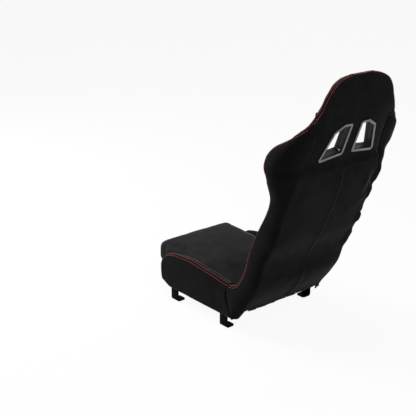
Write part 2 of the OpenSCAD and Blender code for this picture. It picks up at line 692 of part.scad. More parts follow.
sheet_t = cover_t * shear;
upper_z = concat(steps(upper_hem_z, upper_hem_z + 22, 2), steps(upper_hem_z + 36, head_split - 1, 6));
function tucked(z) = layer * ease(upper_hem_z - 50, upper_hem_z - 14, z);
module rear_cover_lower() {
    stations = steps(hem_z, upper_hem_z + lap, 15);
    color(fabric_light) loft([
        for (z = stations)
            let (path = both_sides([for (q = steps(0, 0.995, 7)) skin(z, q)]))
            level(sheet(tucked(z) == 0 ? path : moved(path, tucked(z)), sheet_t), z)
    ]);
}
module rear_cover_upper() {
    stations = concat(
        upper_z, [head_split + 4],
        steps(head_split + 12, height(0.965), 4), [for (t = [0.975, 0.984, 0.991, 0.996, 1]) height(t)]
    );
    color(fabric_dark) difference() {
        loft([
            for (z = stations)
                let (edge = seam_q(z) - 0.005)
                level(sheet(both_sides([for (q = steps(0, 1, 11)) skin(z, edge * q)]), sheet_t), z)
        ]);
        for (side = [left, right]) slot_cut(side);
    }
}
module side_cover(side) {
    stations = concat(
        steps(base_z, hem_z, 3), steps(hem_z + 26, upper_hem_z - 26, 17), upper_z
    );
    color(fabric_dark) on_side(side) loft([
        for (z = stations)
            level(sheet([for (u = steps(0.01, 1, 9)) side_point(z, u)], sheet_t), z)
    ]);
}

// Base covers: a vertical profile carried along the plan of the base
function base_bottom(y) = base_z + 22 * ease(-165, -base_front, y);
function base_profile(y) =
    let (low = base_bottom(y), top = ridge_z(y))
    [for (v = flank_heights) [curve(v, flank_bulge), low + (top - low) * v]];
function base_ring(p, n, y) = [
    for (a = sheet(base_profile(y), cover_t)) [p[0] + n[0] * a[0], p[1] + n[1] * a[0], a[1]]
];
module base_cover(side) {
    color(fabric_dark) on_side(side) loft(concat(
        [for (y = steps(corner_y - soft_gap, -corner_start, 11)) base_ring([flank_x, y], [1, 0], y)],
        [for (a = steps(18, 90, 4))
            let (n = [cos(a), -sin(a)])
            let (p = [flank_x - corner_r, -corner_start] + corner_r * n)
            base_ring(p, n, max(p[1], -base_front))]
    ));
}
module base_cover_front() {
    half = flank_x - corner_r - soft_gap;
    low = base_bottom(-base_front);
    high = base_top - 18;
    color(fabric_dark) translate([-half, -base_front, 0]) rotate([90, 0, 90])
        linear_extrude(height = 2 * half)
            polygon(sheet([for (v = steps(0, 1, 4)) [4 * v ^ 3 - 2 * (1 - v) + 0.3, low + (high - low) * v]], cover_t));
}

// Plastic J-strips sewn to the rear hem, hooked under the hem tube
clip_edges = [-166, -121, -50, 0, 57, 148];
clip_slit = 3;
module hem_clips() {
    r = hem_tube_d / 2 + soft_gap;
    color(powder_black) for (i = [0:len(clip_edges) - 2])
        translate([clip_edges[i] + clip_slit / 2, hem_tube_y, hem_tube_z]) rotate([90, 0, 90])
            linear_extrude(height = clip_edges[i + 1] - clip_edges[i] - clip_slit)
                polygon(sheet(concat([for (a = steps(-200, 0, 14)) r * [cos(a), sin(a)]], [[r + 2, 9]]), 2.4));
}

// ---------------------------------------------------------------- harness slots

slot_lean = atan((rear_y(slot_z + 40) - rear_y(slot_z - 40)) / 80);
slot_face = harness_depth * cos(slot_lean);
slot_r = 11;
bezel_split = 15;
slot_points = [
    [slot_gap / 2, 14 - slot_h / 2], [slot_gap / 2 + slot_low_w, -slot_h / 2],
    [slot_gap / 2 + slot_high_w, slot_h / 2 - 23], [slot_gap / 2 + slot_high_w / 2, slot_h / 2],
    [slot_gap / 2, slot_h / 2 - 1]
];

// Local frame of the slots: x sideways, y up the rear face, z out of it
module slot_frame(side) {
    on_side(side) translate([0, rear_y(slot_z), slot_z]) rotate([-90 - slot_lean, 0, 0])
        mirror([0, 1, 0]) children();
}
module slot_prism(d, z0, z1) {
    translate([0, 0, z0]) linear_extrude(height = z1 - z0)
        polygon(outline(slot_points, d, slot_r));
}
module slot_cut(side) {
    slot_frame(side) slot_prism(bezel_wall + 0.6 - flange_w, -slot_face - 30, 30);
}
module bezel(flange_z, lip_z, sleeve_end) {
    low = min(flange_z, sleeve_end);
    high = max(flange_z, sleeve_end);
    difference() {
        union() {
            slot_prism(bezel_wall - flange_w, low, high);
            slot_prism(0, min(flange_z, lip_z), max(flange_z, lip_z));
        }
        slot_prism(-flange_w, -slot_face - 40, 40);
    }
}
boss_r = 5;
boss_at = [slot_gap / 2 + flange_w + 3, 16 - slot_h / 2 + flange_w + 2];
boss_top = -7;
screw_l = 16;
screw_d = 4;
module rear_bezel(side) {
    color(plastic_grey) slot_frame(side) difference() {
        union() {
            bezel(2 * soft_gap, 2 * soft_gap + flange_t, -bezel_split);
            translate([boss_at[0], boss_at[1], -bezel_split])
                cylinder(h = bezel_split + boss_top, r = boss_r, $fn = ROUND);
        }
        translate([boss_at[0], boss_at[1], -bezel_split - 1])
            cylinder(h = bezel_split, d = screw_d + 0.4, $fn = ROUND);
    }
}
module front_bezel(side) {
    out = -slot_face - 2 * soft_gap;
    color(plastic_grey) slot_frame(side) difference() {
        union() {
            bezel(out, out - flange_t, -bezel_split - soft_gap);
            translate([boss_at[0], boss_at[1], -bezel_split - soft_gap - 11])
                cylinder(h = 11, r = boss_r, $fn = ROUND);
        }
        translate([boss_at[0], boss_at[1], boss_top - screw_l - 0.5])
            cylinder(h = screw_l, d = screw_d + 0.2, $fn = ROUND);
    }
}
module bezel_screws() {
    color(zinc) for (side = [left, right]) slot_frame(side)
        translate([boss_at[0], boss_at[1], boss_top]) {
            cylinder(h = 2.6, d = 7.5, $fn = ROUND);
            translate([0, 0, -screw_l]) cylinder(h = screw_l + 1, d = screw_d, $fn = ROUND);
        }
}

// ---------------------------------------------------------------- brackets

bracket_x = base_w / 2 - 4;
bend_r = 4;
foot_cut = 9;
function arc(c, r, a, b, n = 6) = [for (t = steps(a, b, n)) c + r * [cos(t), sin(t)]];

// Strip bent to a C: top flange, web and foot, outside face first
function bracket_profile() =
    let (t = strip_t, o = bend_r + strip_t, x = bracket_x, h = bracket_h)
    concat(
        [[bolt_x - 14, h]], arc([x - o, h - o], o, 90, 0), arc([x - o, o], o, 0, -90),
        [[x - foot_l, 0], [x - foot_l, t]], arc([x - o, o], bend_r, -90, 0),
        arc([x - o, h - o], bend_r, 0, 90), [[bolt_x - 14, h - t]]
    );
module bracket(side, end) {
    color(powder_black) on_side(side) translate([0, end * hole_dy / 2, 0]) difference() {
        rotate([90, 0, 0]) linear_extrude(height = strip_w, center = true) polygon(bracket_profile());
        translate([bracket_x - hole_inset, 0, -1]) cylinder(h = strip_t + 2, d = foot_hole_d, $fn = ROUND);
        translate([bolt_x, 0, bracket_h - strip_t - 1])
            cylinder(h = strip_t + 2, d = bolt_d + 1, $fn = ROUND);
        for (s = [-1, 1]) translate([bracket_x - foot_l, s * strip_w / 2, -1]) rotate([0, 0, 45])
            cube([foot_cut, foot_cut, 2 * strip_t + 4], center = true);
    }
}
washer_t = 1.6;
head_h = 0.66 * bolt_d;
module bolt_washers() {
    color(zinc) at_bolts() translate([0, 0, bracket_h - strip_t - washer_t]) difference() {
        cylinder(h = washer_t, d = 2 * bolt_d, $fn = ROUND);
        translate([0, 0, -1]) cylinder(h = washer_t + 2, d = bolt_d + 0.4, $fn = ROUND);
    }
}
module seat_bolts() {
    seat = bracket_h - strip_t - washer_t;
    color(zinc) at_bolts() union() {
        translate([0, 0, seat - head_h]) cylinder(h = head_h, d = hex_d, $fn = 6);
        translate([0, 0, seat - 0.5]) cylinder(h = strip_t + washer_t + plate_t + nut_h + 2.5, d = bolt_d, $fn = ROUND);
    }
}

main_hoop();
front_cross_tube();
rear_cross_tube();
hem_tube();
lumbar_cross_tube();
lower_harness_tube();
upper_harness_tube();
wing_rod(left);  // wing_rod_left
wing_rod(right);  // wing_rod_right
mount_plates();
weld_nuts();
seat_webbing();
back_webbing();
base_foam();
base_bolster(left);  // base_bolster_left
base_bolster(right);  // base_bolster_right
seat_cushion();
back_pad();
wing_pad(left);  // wing_pad_left
wing_pad(right);  // wing_pad_right
shoulder_pad();
head_pad();
rear_cover_lower();
rear_cover_upper();
side_cover(left);  // side_cover_left
side_cover(right);  // side_cover_right
base_cover(left);  // base_cover_left
base_cover(right);  // base_cover_right
base_cover_front();
hem_clips();
rear_bezel(left);  // rear_bezel_left
rear_bezel(right);  // rear_bezel_right
front_bezel(left);  // front_bezel_left
front_bezel(right);  // front_bezel_right
bezel_screws();
bracket(left, -1);  // bracket_front_left
bracket(right, -1);  // bracket_front_right
bracket(left, 1);  // bracket_rear_left
bracket(right, 1);  // bracket_rear_right
seat_bolts();
bolt_washers();
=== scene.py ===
# Looks of the racing seat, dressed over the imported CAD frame.
# Shapes are worked out in millimetres, with the CAD source's curves; to_m turns them into metres.
# The seat faces -Y and its left side is at +X. z is the height over the floor.
import bpy
import bmesh
import json
import math
import numpy as np
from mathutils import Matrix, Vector, noise
from mathutils.bvhtree import BVHTree

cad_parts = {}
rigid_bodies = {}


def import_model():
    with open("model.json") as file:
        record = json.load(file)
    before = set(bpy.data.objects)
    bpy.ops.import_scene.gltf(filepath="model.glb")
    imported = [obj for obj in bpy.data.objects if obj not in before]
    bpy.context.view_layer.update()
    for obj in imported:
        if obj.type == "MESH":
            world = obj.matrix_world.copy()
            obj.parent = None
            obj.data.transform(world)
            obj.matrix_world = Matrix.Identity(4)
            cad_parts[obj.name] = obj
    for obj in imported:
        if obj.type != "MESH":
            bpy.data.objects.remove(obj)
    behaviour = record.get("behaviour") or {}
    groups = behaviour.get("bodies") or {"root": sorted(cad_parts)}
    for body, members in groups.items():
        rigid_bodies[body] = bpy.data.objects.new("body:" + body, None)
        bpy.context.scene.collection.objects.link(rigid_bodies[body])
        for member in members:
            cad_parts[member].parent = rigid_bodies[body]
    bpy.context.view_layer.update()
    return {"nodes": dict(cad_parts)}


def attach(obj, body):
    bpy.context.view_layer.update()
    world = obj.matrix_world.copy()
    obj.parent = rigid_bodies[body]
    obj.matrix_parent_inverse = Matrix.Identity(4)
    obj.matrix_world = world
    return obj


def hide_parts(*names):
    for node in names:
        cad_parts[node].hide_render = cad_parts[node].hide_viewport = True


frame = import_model()
scene = bpy.context.scene

SIDES = ((1, "left"), (-1, "right"))
MIRROR = np.array([-1, 1, 1])

# ---- sizes of the CAD source
SEAT_H, BASE_W, SHOULDER_W, NECK_W, HEAD_W = 974, 450, 544, 390, 334
HEM_Z, HEM_Y, BASE_FRONT, CORNER_Y, BASE_Z, BOLSTER_Z = 96, 245, 236, 170, 50, 199
HIP, WAIST, SHOULDER = 125, 80, 100
CUSHION_W, CUSHION_FRONT, CUSHION_Z, PAD_W = 359, 296, 202, 300
PAD_DEPTH, HEAD_DEPTH, HARNESS_DEPTH, BASE_FOAM_T, COVER_T, GAP = 66, 48, 30, 30, 2, 0.3
TUBE_D, CROSS_D, STRAP_T, WELD = 25, 20, 2.5, 0.2
SLOT_AT, SLOT_H = 0.748, 134
RAIL_Z = 77.7
LEAN = math.tan(math.radians(20.25))
SHEAR = 1 / math.cos(math.radians(20.25))
BACK_H = SEAT_H - HEM_Z
SLOT_Z = HEM_Z + SLOT_AT * BACK_H


def height(t):
    return HEM_Z + t * BACK_H


def share(z):
    return (z - HEM_Z) / BACK_H


def curve(t, p):
    """Smooth curve at t through a table of (place, value) rows."""
    i = 0
    while i < len(p) - 2 and t >= p[i + 1][0]:
        i += 1

    def chord(k):
        return (p[k + 1][1] - p[k][1]) / (p[k + 1][0] - p[k][0])

    def slope(k):
        return (chord(max(k - 1, 0)) + chord(min(k, len(p) - 2))) / 2

    w = p[i + 1][0] - p[i][0]
    u = max(0.0, min(1.0, (t - p[i][0]) / w))
    return (p[i][1] * (2 * u**3 - 3 * u**2 + 1) + slope(i) * w * (u**3 - 2 * u**2 + u)
            + p[i + 1][1] * (3 * u**2 - 2 * u**3) + slope(i + 1) * w * (u**3 - u**2))


def ease(a, b, t):
    """0 before a, 1 after b and smooth between."""
    u = np.clip((t - a) / (b - a), 0, 1)
    return u * u * (3 - 2 * u)


def bell(x, width):
    return np.exp(-(x / width)**2)


def table_at(t, table, column=1):
    """Straight-line reading of one column of a table, whose first column is the place."""
    return np.interp(t, [row[0] for row in table], [row[column] for row in table])


# Curves of the back against the share of its height: how far the rear stands out of the straight
# lean, the side seam's x, the rim's x, how far the rim lies ahead of the rear, how far the seam
# lies ahead of the middle, and how square the side is.
REAR = [(-0.053, -13), (0, 0), (0.066, 24), (0.12, 33), (0.19, 25), (0.24, 25), (0.33, 42),
        (0.52, 48), (0.6, 45), (0.632, 41), (0.65, 33), (0.665, 28.9), (0.69, 28.6),
        (0.755, 28.4), (0.82, 28.1), (0.855, 25.5), (0.887, 20), (0.92, 12), (0.97, 2.5), (1, -10)]
SEAM = [(-0.053, 200), (0, 193), (0.04, 200), (0.1, 205), (0.24, 206), (0.37, 209), (0.44, 210),
        (0.52, 211), (0.61, 199), (0.65, 187), (0.69, 174.5), (0.745, 163), (0.79, 167.5),
        (0.835, 176), (0.86, 173), (0.9, 155), (0.94, 140), (0.972, 112), (1, 42)]
WX, SX, NX, HX = BASE_W / 2 - 3, SHOULDER_W / 2, NECK_W / 2, HEAD_W / 2
RIM = [(-0.053, BASE_W / 2 - 1), (0.08, BASE_W / 2 - 2), (0.16, WX), (0.38, WX), (0.46, WX + 1),
       (0.53, WX + 12), (0.6, SX - 14), (0.665, SX), (0.69, SX), (0.72, SX - 4), (0.75, SX - 13),
       (0.771, SX - 26), (0.803, NX + 33), (0.819, NX + 16), (0.836, NX + 5), (0.86, NX - 8),
       (0.887, HX + 6.5), (0.904, HX), (0.921, HX - 5), (0.9385, HX - 14), (0.9556, HX - 27),
       (0.9727, HX - 43), (0.986, HX - 66), (0.993, HX - 86), (1, HX - 118)]
REACH = [(-0.053, HIP + 8), (0.0885, HIP + 8), (0.0888, HIP + 8), (0.0945, 113), (0.108, 97), (0.141, 85),
         (0.179, 74), (0.208, 72), (0.247, 75), (0.29, 84), (0.319, 88), (0.353, 90), (0.386, 90),
         (0.416, 87), (0.4305, 85), (0.464, WAIST), (0.53, WAIST - 5),
         (0.625, SHOULDER - 9), (0.645, SHOULDER - 7), (0.665, SHOULDER - 5), (0.69, SHOULDER - 1),
         (0.72, SHOULDER - 2), (0.75, SHOULDER - 15), (0.771, SHOULDER - 37), (0.803, 32),
         (0.819, 22.5), (0.836, 17.5), (0.871, 13.5), (0.89, 11), (0.92, 9.5), (0.96, 10.5), (1, 11)]
DROP = [(-0.053, 8), (0, 6), (0.04, 9), (0.1, 10), (0.18, 5), (0.28, 4), (0.36, 9), (0.42, 13),
        (0.5, 12), (0.56, 10), (0.64, 10), (0.7, 6.5), (0.76, 5.5), (0.8, 7.5), (0.84, 8),
        (0.88, 5), (1, 4)]
FULL = [(0, 0.55), (0.62, 0.55), (0.7, 0.8), (0.775, 0.85), (0.81, 0.75), (0.84, 0.65), (0.87, 0.5), (1, 0.5)]
# How far the pads' front lies ahead of the rear
FACE = [(0.03, 98), (0.1, 88), (0.19, PAD_DEPTH + 9), (0.3, PAD_DEPTH + 2), (0.45, PAD_DEPTH),
        (0.62, PAD_DEPTH), (0.67, PAD_DEPTH - 6), (0.87, PAD_DEPTH - 7), (0.9, HEAD_DEPTH + 2),
        (0.96, HEAD_DEPTH), (0.978, HEAD_DEPTH - 5), (0.99, HEAD_DEPTH - 15), (1, HEAD_DEPTH - 28)]


def over_height(table):
    return lambda z: curve(share(z), table)


seam_x, rim_x, drop = over_height(SEAM), over_height(RIM), over_height(DROP)
stand_out, reach_of, fullness, pad_face = (over_height(t) for t in (REAR, REACH, FULL, FACE))


def rear_y(z):
    return HEM_Y + (z - HEM_Z) * LEAN + stand_out(z)


def rim_y(z):
    return max(CORNER_Y, rear_y(z) - reach_of(z))


def side_point(z, u):
    """The side's skin from its seam (u = 0) to the rim (u = 1)."""
    sx, sy = seam_x(z), rear_y(z) - drop(z)
    rx, ry = rim_x(z), rim_y(z)
    plump = ease(650, 700, z) * (1 - ease(770, 800, z))
    bulge, full = min(8, (sy - ry) * 0.12) + 6 * plump, fullness(z) + 0.15 * plump
    a, b = (sx, sy), (sx + full * (rx - sx) + 1.5 * bulge, sy - 1 + 8 * plump)
    c, d = (rx + bulge, ry + 0.5 * (sy - ry)), (rx, ry)
    k = ((1 - u)**3, 3 * u * (1 - u)**2, 3 * u**2 * (1 - u), u**3)
    return tuple(sum(w * p[i] for w, p in zip(k, (a, b, c, d))) for i in (0, 1))


def skin(z, q):
    """The skin at height z: q from 0 in the middle to 1 at the seam and 2 at the rim."""
    side = -1 if q < 0 else 1
    q = abs(q)
    x, y = (seam_x(z) * q, rear_y(z) - drop(z) * q**4) if q <= 1 else side_point(z, min(q, 2) - 1)
    return side * x, y


LAYER = (COVER_T + GAP) * SHEAR
STRAP_R = TUBE_D / 2 + WELD + STRAP_T
HOOP_INSET = 2 * LAYER + (STRAP_R + WELD) * SHEAR + 2
HEM_TOP = SLOT_Z - SLOT_H / 2 - 36
BASE_FOAM_Z = RAIL_Z + STRAP_R + GAP
BASE_TOP = BASE_FOAM_Z + BASE_FOAM_T
BACK_AT = HOOP_INSET + (STRAP_R + GAP) * SHEAR + 1
LOW_TUBE = SLOT_Z - SLOT_H / 2 - CROSS_D / 2 - 27
HIGH_TUBE = SLOT_Z + SLOT_H / 2 + CROSS_D / 2 + 20
CLEAR_LOW, CLEAR_HIGH = LOW_TUBE + CROSS_D / 2, HIGH_TUBE - CROSS_D / 2     # free of both harness tubes
HEAD_SPLIT = HIGH_TUBE + CROSS_D / 2 + 1
PAD_SPLIT = LOW_TUBE - CROSS_D / 2 - 6


def recess(z):
    """1 where the pads are thin round the harness slots, 0 elsewhere."""
    foot, top = SLOT_Z - SLOT_H / 2 + 2, SLOT_Z + SLOT_H / 2 + 2
    return ease(foot - 34, foot - 6, z) * (1 - ease(top + 4, top + 30, z))


def face_depth(z):
    d = min(pad_face(z), rear_y(z) - CORNER_Y - 4)
    return d + (HARNESS_DEPTH - d) * recess(z)


def rim_depth(z):
    return rear_y(z) - rim_y(z)


# Top edge of the base against y, and its bulging flank against the share of its height
RIDGE = [(-236, -50), (-226, -43), (-212, -33), (-197, -21), (-172, -11), (-128, -4), (-84, -2),
         (-66, 0), (-12, -4), (17, -7), (63, -11), (97, -15.5), (131, -20), (160, -22), (172, -22.5)]
CORNER_R = 26
FLANK_X = BASE_W / 2 - 1.5
CORNER_START = BASE_FRONT - CORNER_R
FLANK = [(0, 0), (0.2, 2), (0.5, 3), (0.75, 2), (0.88, -1), (0.95, -4), (1, -9)]


def ridge_z(y, side=1):
    """Top of the thigh bolster; the far one sits a little lower, where its foam has settled."""
    return BOLSTER_Z + curve(y, RIDGE) - (9 * bell(y + 150, 70) if side < 0 else 0)


def base_bottom(y):
    return BASE_Z + 22 * ease(-165, -BASE_FRONT, y)


# ---- mesh helpers
def to_m(p):
    return np.asarray(p, float) * 0.001


def unit(v):
    return v / max(np.linalg.norm(v), 1e-9)


def units(v):
    return v / np.maximum(np.linalg.norm(v, axis=-1, keepdims=True), 1e-9)


def lengths(p):
    """Distance run at each point of a path."""
    return np.concatenate([[0], np.cumsum(np.linalg.norm(np.diff(p, axis=0), axis=1))])


def at_length(t, s, p):
    """A path p with the lengths s, read at the distance or distances t."""
    return np.stack([np.interp(t, s, p[:, k]) for k in range(p.shape[1])], -1)


def placed(name, data):
    ob = bpy.data.objects.new(name, data)
    scene.collection.objects.link(ob)
    return ob


def smooth(me):
    me.polygons.foreach_set("use_smooth", [True] * len(me.polygons))


def add_mesh(name, verts, faces, mat, rounded=True):
    me = bpy.data.meshes.new(name)
    me.from_pydata([tuple(v) for v in to_m(verts)], [], [tuple(int(i) for i in f) for f in faces])
    me.validate()
    me.update()
    if rounded:
        smooth(me)
    me.materials.append(mat)
    ob = placed(name, me)
    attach(ob, "root")
    return ob


def stands_for(node_name):
    """Hides the CAD node that a piece stands for."""
    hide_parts(node_name)


def edit(me, work):
    bm = bmesh.new()
    bm.from_mesh(me)
    work(bm)
    bm.to_mesh(me)
    bm.free()


def face_outwards(bm):
    bmesh.ops.recalc_face_normals(bm, faces=bm.faces)


def merge_facets(bm):
    """Joins the split edges of a CAD mesh and the facets that lie in one plane."""
    bmesh.ops.remove_doubles(bm, verts=bm.verts, dist=1e-5)
    bmesh.ops.dissolve_limit(bm, angle_limit=math.radians(1.5), verts=bm.verts, edges=bm.edges)


def grid_normals(g):
    return units(np.cross(np.gradient(g, axis=0), np.gradient(g, axis=1)))


def raised(g, h):
    """The grid with each point moved out by h."""
    return g + grid_normals(g) * h[:, :, None]


def along(g, axis):
    """Distance run over a grid along one axis."""
    d = np.linalg.norm(np.diff(g, axis=axis), axis=2)
    pad = np.zeros_like(np.take(d, [0], axis=axis))
    return np.cumsum(np.concatenate([pad, d], axis=axis), axis=axis)


def thick_sheet(name, g, t, mat):
    """A closed sheet: outer grid g (rows up, columns so that the outside is dv x du), t thick."""
    inner = g - grid_normals(g) * t
    m = g.shape[0] * g.shape[1]
    idx = np.arange(m).reshape(g.shape[:2])
    outside = np.stack([idx[:-1, :-1], idx[1:, :-1], idx[1:, 1:], idx[:-1, 1:]], -1).reshape(-1, 4)
    ring = np.concatenate([idx[0, :], idx[1:, -1], idx[-1, -2::-1], idx[-2:0:-1, 0]])
    nxt = np.roll(ring, -1)
    side = np.stack([ring, nxt, nxt + m, ring + m], 1)
    faces = np.concatenate([outside, outside[:, ::-1] + m, side])
    return add_mesh(name, np.concatenate([g.reshape(-1, 3), inner.reshape(-1, 3)]), faces, mat)


def loft_mesh(name, rings, mat):
    """A closed skin over rings of equal count, capped at both ends."""
    r = np.asarray(rings, float)
    i = np.arange(r.shape[0] * r.shape[1]).reshape(r.shape[:2])
    j = np.roll(i, -1, axis=1)
    sides = np.stack([i[:-1], j[:-1], j[1:], i[1:]], -1).reshape(-1, 4)
    ob = add_mesh(name, r.reshape(-1, 3), [*sides, i[0, ::-1], i[-1]], mat)
    edit(ob.data, face_outwards)
    return ob


def spaced(a, b, step, fine=(), w=14, least=1.0):
    """Numbers from a to b about step apart, closer together near the values in fine."""
    out = [a]
    while out[-1] < b - 1e-6:
        x = out[-1]
        d = min([abs(x - f) for f in fine] + [1e9])
        out.append(min(b, x + (least + (step - least) * min(1, d / w))))
    if len(out) > 2 and out[-1] - out[-2] < 0.4 * (out[-2] - out[-3]):
        out.pop(-2)
    return out


def spline(pts, n):
    """Catmull-Rom curve through pts, n points, evenly spread."""
    p = np.asarray(pts, float)
    q = np.concatenate([[2 * p[0] - p[1]], p, [2 * p[-1] - p[-2]]])
    out = []
    for i in range(len(p) - 1):
        a, b, c, d = q[i:i + 4]
        for u in np.linspace(0, 1, 12, endpoint=False):
            out.append(0.5 * (2 * b + (c - a) * u + (2 * a - 5 * b + 4 * c - d) * u * u
                              + (3 * b - a - 3 * c + d) * u**3))
    out = np.array(out + [p[-1]])
    s = lengths(out)
    return at_length(np.linspace(0, s[-1], n), s, out)


def fold(s, z, s0, z0, angle, length, width, amp):
    """Height of one wrinkle at arc place s and height z; positive stands out of the cloth."""
    a = math.radians(angle)
    u = (s - s0) * math.cos(a) + (z - z0) * math.sin(a)
    v = -(s - s0) * math.sin(a) + (z - z0) * math.cos(a)
    return amp * bell(v, width) * bell(u, length)


def ripple(g, size, amp, seed=0.0):
    flat = g.reshape(-1, 3)
    h = [noise.noise(Vector((p[0] / size + seed, p[1] / size, p[2] / size))) for p in flat]
    return amp * np.array(h).reshape(g.shape[:2])


# ---- materials
def new_mat(name):
    m = bpy.data.materials.new(name)
    m.use_nodes = True
    nt = m.node_tree
    return m, nt, nt.nodes["Principled BSDF"]


def node(nt, kind, **values):
    """A new node with its sockets or properties set by name."""
    n = nt.nodes.new(kind)
    for k, v in values.items():
        if k in n.inputs:
            n.inputs[k].default_value = v
        else:
            setattr(n, k, v)
    return n


def link(nt, out, n, socket):
    nt.links.new(out, n.inputs[socket])


def put(n, values):
    for k, v in values.items():
        n.inputs[k].default_value = v


def object_coords(nt):
    return node(nt, "ShaderNodeTexCoord").outputs["Object"]


def noise_at(nt, coord, scale, detail=3.0, rough=0.55):
    n = node(nt, "ShaderNodeTexNoise", Scale=scale, Detail=detail, Roughness=rough)
    link(nt, coord, n, "Vector")
    return n.outputs["Fac"]


def grey(v):
    return (v, v, v, 1)


def ramp(nt, fac, *stops):
    """Colours against fac, from two stops, each a place and a grey level or a colour."""
    r = nt.nodes.new("ShaderNodeValToRGB")
    for e, (place, col) in zip(r.color_ramp.elements, stops):
        e.position, e.color = place, grey(col) if isinstance(col, float) else col
    link(nt, fac, r, "Fac")
    return r.outputs["Color"]


def math_node(nt, op, a, b):
    n = node(nt, "ShaderNodeMath", operation=op)
    for i, v in enumerate((a, b)):
        if isinstance(v, (int, float)):
            n.inputs[i].default_value = v
        else:
            link(nt, v, n, i)
    return n.outputs[0]


def bump(nt, height, dist, strength, below=None):
    b = node(nt, "ShaderNodeBump", Distance=dist, Strength=strength)
    link(nt, height, b, "Height")
    if below is not None:
        link(nt, below, b, "Normal")
    return b.outputs["Normal"]


def weave_height(nt, coord, pitch):
    """Two crossed families of ribs, about pitch metres apart."""
    turn = node(nt, "ShaderNodeMapping", Rotation=(0, 0, 0.6))
    link(nt, coord, turn, "Vector")
    ribs = []
    for axis in ("X", "Z"):
        w = node(nt, "ShaderNodeTexWave", Scale=0.314 / pitch, Distortion=0.6, Detail=1.0)
        w.bands_direction = axis
        link(nt, turn.outputs["Vector"], w, "Vector")
        ribs.append(w.outputs["Fac"])
    return math_node(nt, "MULTIPLY", ribs[0], ribs[1])


def fabric(name, dark, light, sheen, nap=1.0, pitch=0.0016, seed=0.0):
    """Cloth: blotched nap, fine knit relief and a soft edge sheen."""
    m, nt, b = new_mat(name)
    shift = node(nt, "ShaderNodeMapping", Location=(seed, seed * 0.7, -seed))
    link(nt, object_coords(nt), shift, "Vector")
    v = shift.outputs["Vector"]
    blotch, grain = noise_at(nt, v, 17, 5, 0.62), noise_at(nt, v, 420, 2, 0.6)
    mixed = math_node(nt, "ADD", math_node(nt, "MULTIPLY", blotch, 0.62),
                      math_node(nt, "MULTIPLY", grain, 0.38))
    link(nt, ramp(nt, mixed, (0.32, dark), (0.68, light)), b, "Base Color")
    put(b, {"Roughness": 0.88, "Specular IOR Level": 0.02, "Sheen Weight": sheen, "Sheen Roughness": 0.3})
    n1 = bump(nt, weave_height(nt, v, pitch), 0.0003, 0.35)
    n2 = bump(nt, noise_at(nt, v, 300, 3, 0.6), 0.0004, 0.35 * nap, n1)
    n3 = bump(nt, noise_at(nt, v, 26, 2, 0.5), 0.0014, 0.3, n2)
    link(nt, n3, b, "Normal")
    return m


# Hard finishes: noise for the colour and its spread, noise for the roughness and its spread,
# scale and depth of the grain
MOULDED = ((60, 4, 0.6), 0.15, (35, 3), (0.06, 0.08), 900, 0.0002)
COATED = ((90, 4), 0.2, (240, 3), (0.08, 0.1), 1400, 0.00015)


def hard(name, kind, col, rough, metallic=0.0, spec=0.5):
    """Moulded plastic or coated metal, mottled and finely grained."""
    tone, spread, shine, (less, more), grain, depth = kind
    m, nt, b = new_mat(name)
    co = object_coords(nt)
    dark, light = col * (1 - spread), col * (1 + spread)
    link(nt, ramp(nt, noise_at(nt, co, *tone), (0.3, dark), (0.7, light)), b, "Base Color")
    dull = ramp(nt, noise_at(nt, co, *shine), (0.3, rough - less), (0.7, rough + more))
    link(nt, dull, b, "Roughness")
    put(b, {"Metallic": metallic, "Specular IOR Level": spec})
    link(nt, bump(nt, noise_at(nt, co, grain, 2), depth, 0.25), b, "Normal")
    return m


def thread(name, col):
    m, nt, b = new_mat(name)
    twist = node(nt, "ShaderNodeTexWave", Scale=900, Distortion=1.5)
    link(nt, object_coords(nt), twist, "Vector")
    dark = (*(c * 0.7 for c in col), 1)
    link(nt, ramp(nt, twist.outputs["Fac"], (0.2, dark), (0.8, (*col, 1))), b, "Base Color")
    put(b, {"Roughness": 0.6, "Sheen Weight": 0.15})
    link(nt, bump(nt, twist.outputs["Fac"], 0.0002, 0.4), b, "Normal")
    return m


KNIT = fabric("knit_black", 0.0032, 0.0080, 0.13)
# The same black knit, lighter and with a little more sheen, for the upper cover and the head: painted light
# where the light from above and the left falls on the head
KNIT_PAINTED_LIGHT = fabric("knit_black_painted_light", 0.0048, 0.0120, 0.16, seed=1.7)
SUEDE = fabric("suede_black", 0.0120, 0.0260, 0.13, nap=1.6, seed=3.1)
PANEL = fabric("panel_black", 0.0065, 0.0145, 0.11, nap=1.2, seed=7.7)
SEAM_M = fabric("seam_black", 0.003, 0.005, 0.02)
FOAM = fabric("foam_grey", 0.05, 0.085, 0.05, nap=2.5)
WEB = fabric("webbing_black", 0.012, 0.02, 0.05, pitch=0.0032)
RIM_PLASTIC = hard("bezel_grey", MOULDED, 0.15, 0.33)
# A dark copy of the bezel moulding for the walls inside the slots: painted shade in the slot
SLEEVE_PAINTED_SHADE = hard("bezel_sleeve_painted_shade", MOULDED, 0.008, 0.42, spec=0.12)
CLIP = hard("clip_black", MOULDED, 0.0035, 0.55, spec=0.08)
POWDER = hard("powder_black", COATED, 0.0022, 0.6, spec=0.02)
FRAME = hard("frame_paint", COATED, 0.03, 0.4)
ZINC = hard("zinc", COATED, 0.5, 0.35, metallic=0.9)
RED = thread("thread_red", (0.50, 0.030, 0.035))


# ---- stitches
STITCH_L, STITCH_PITCH, STITCH_R, STITCH_LIFT = 4.6, 5.8, 0.52, 0.4
# One stitch: the share of its length, its height over the cloth and its share of the radius
STITCH = ((0, -0.6, 0.55), (0.12, 0.1, 0.95), (0.5, 0.35, 1.0), (0.88, 0.1, 0.95), (1, -0.6, 0.55))


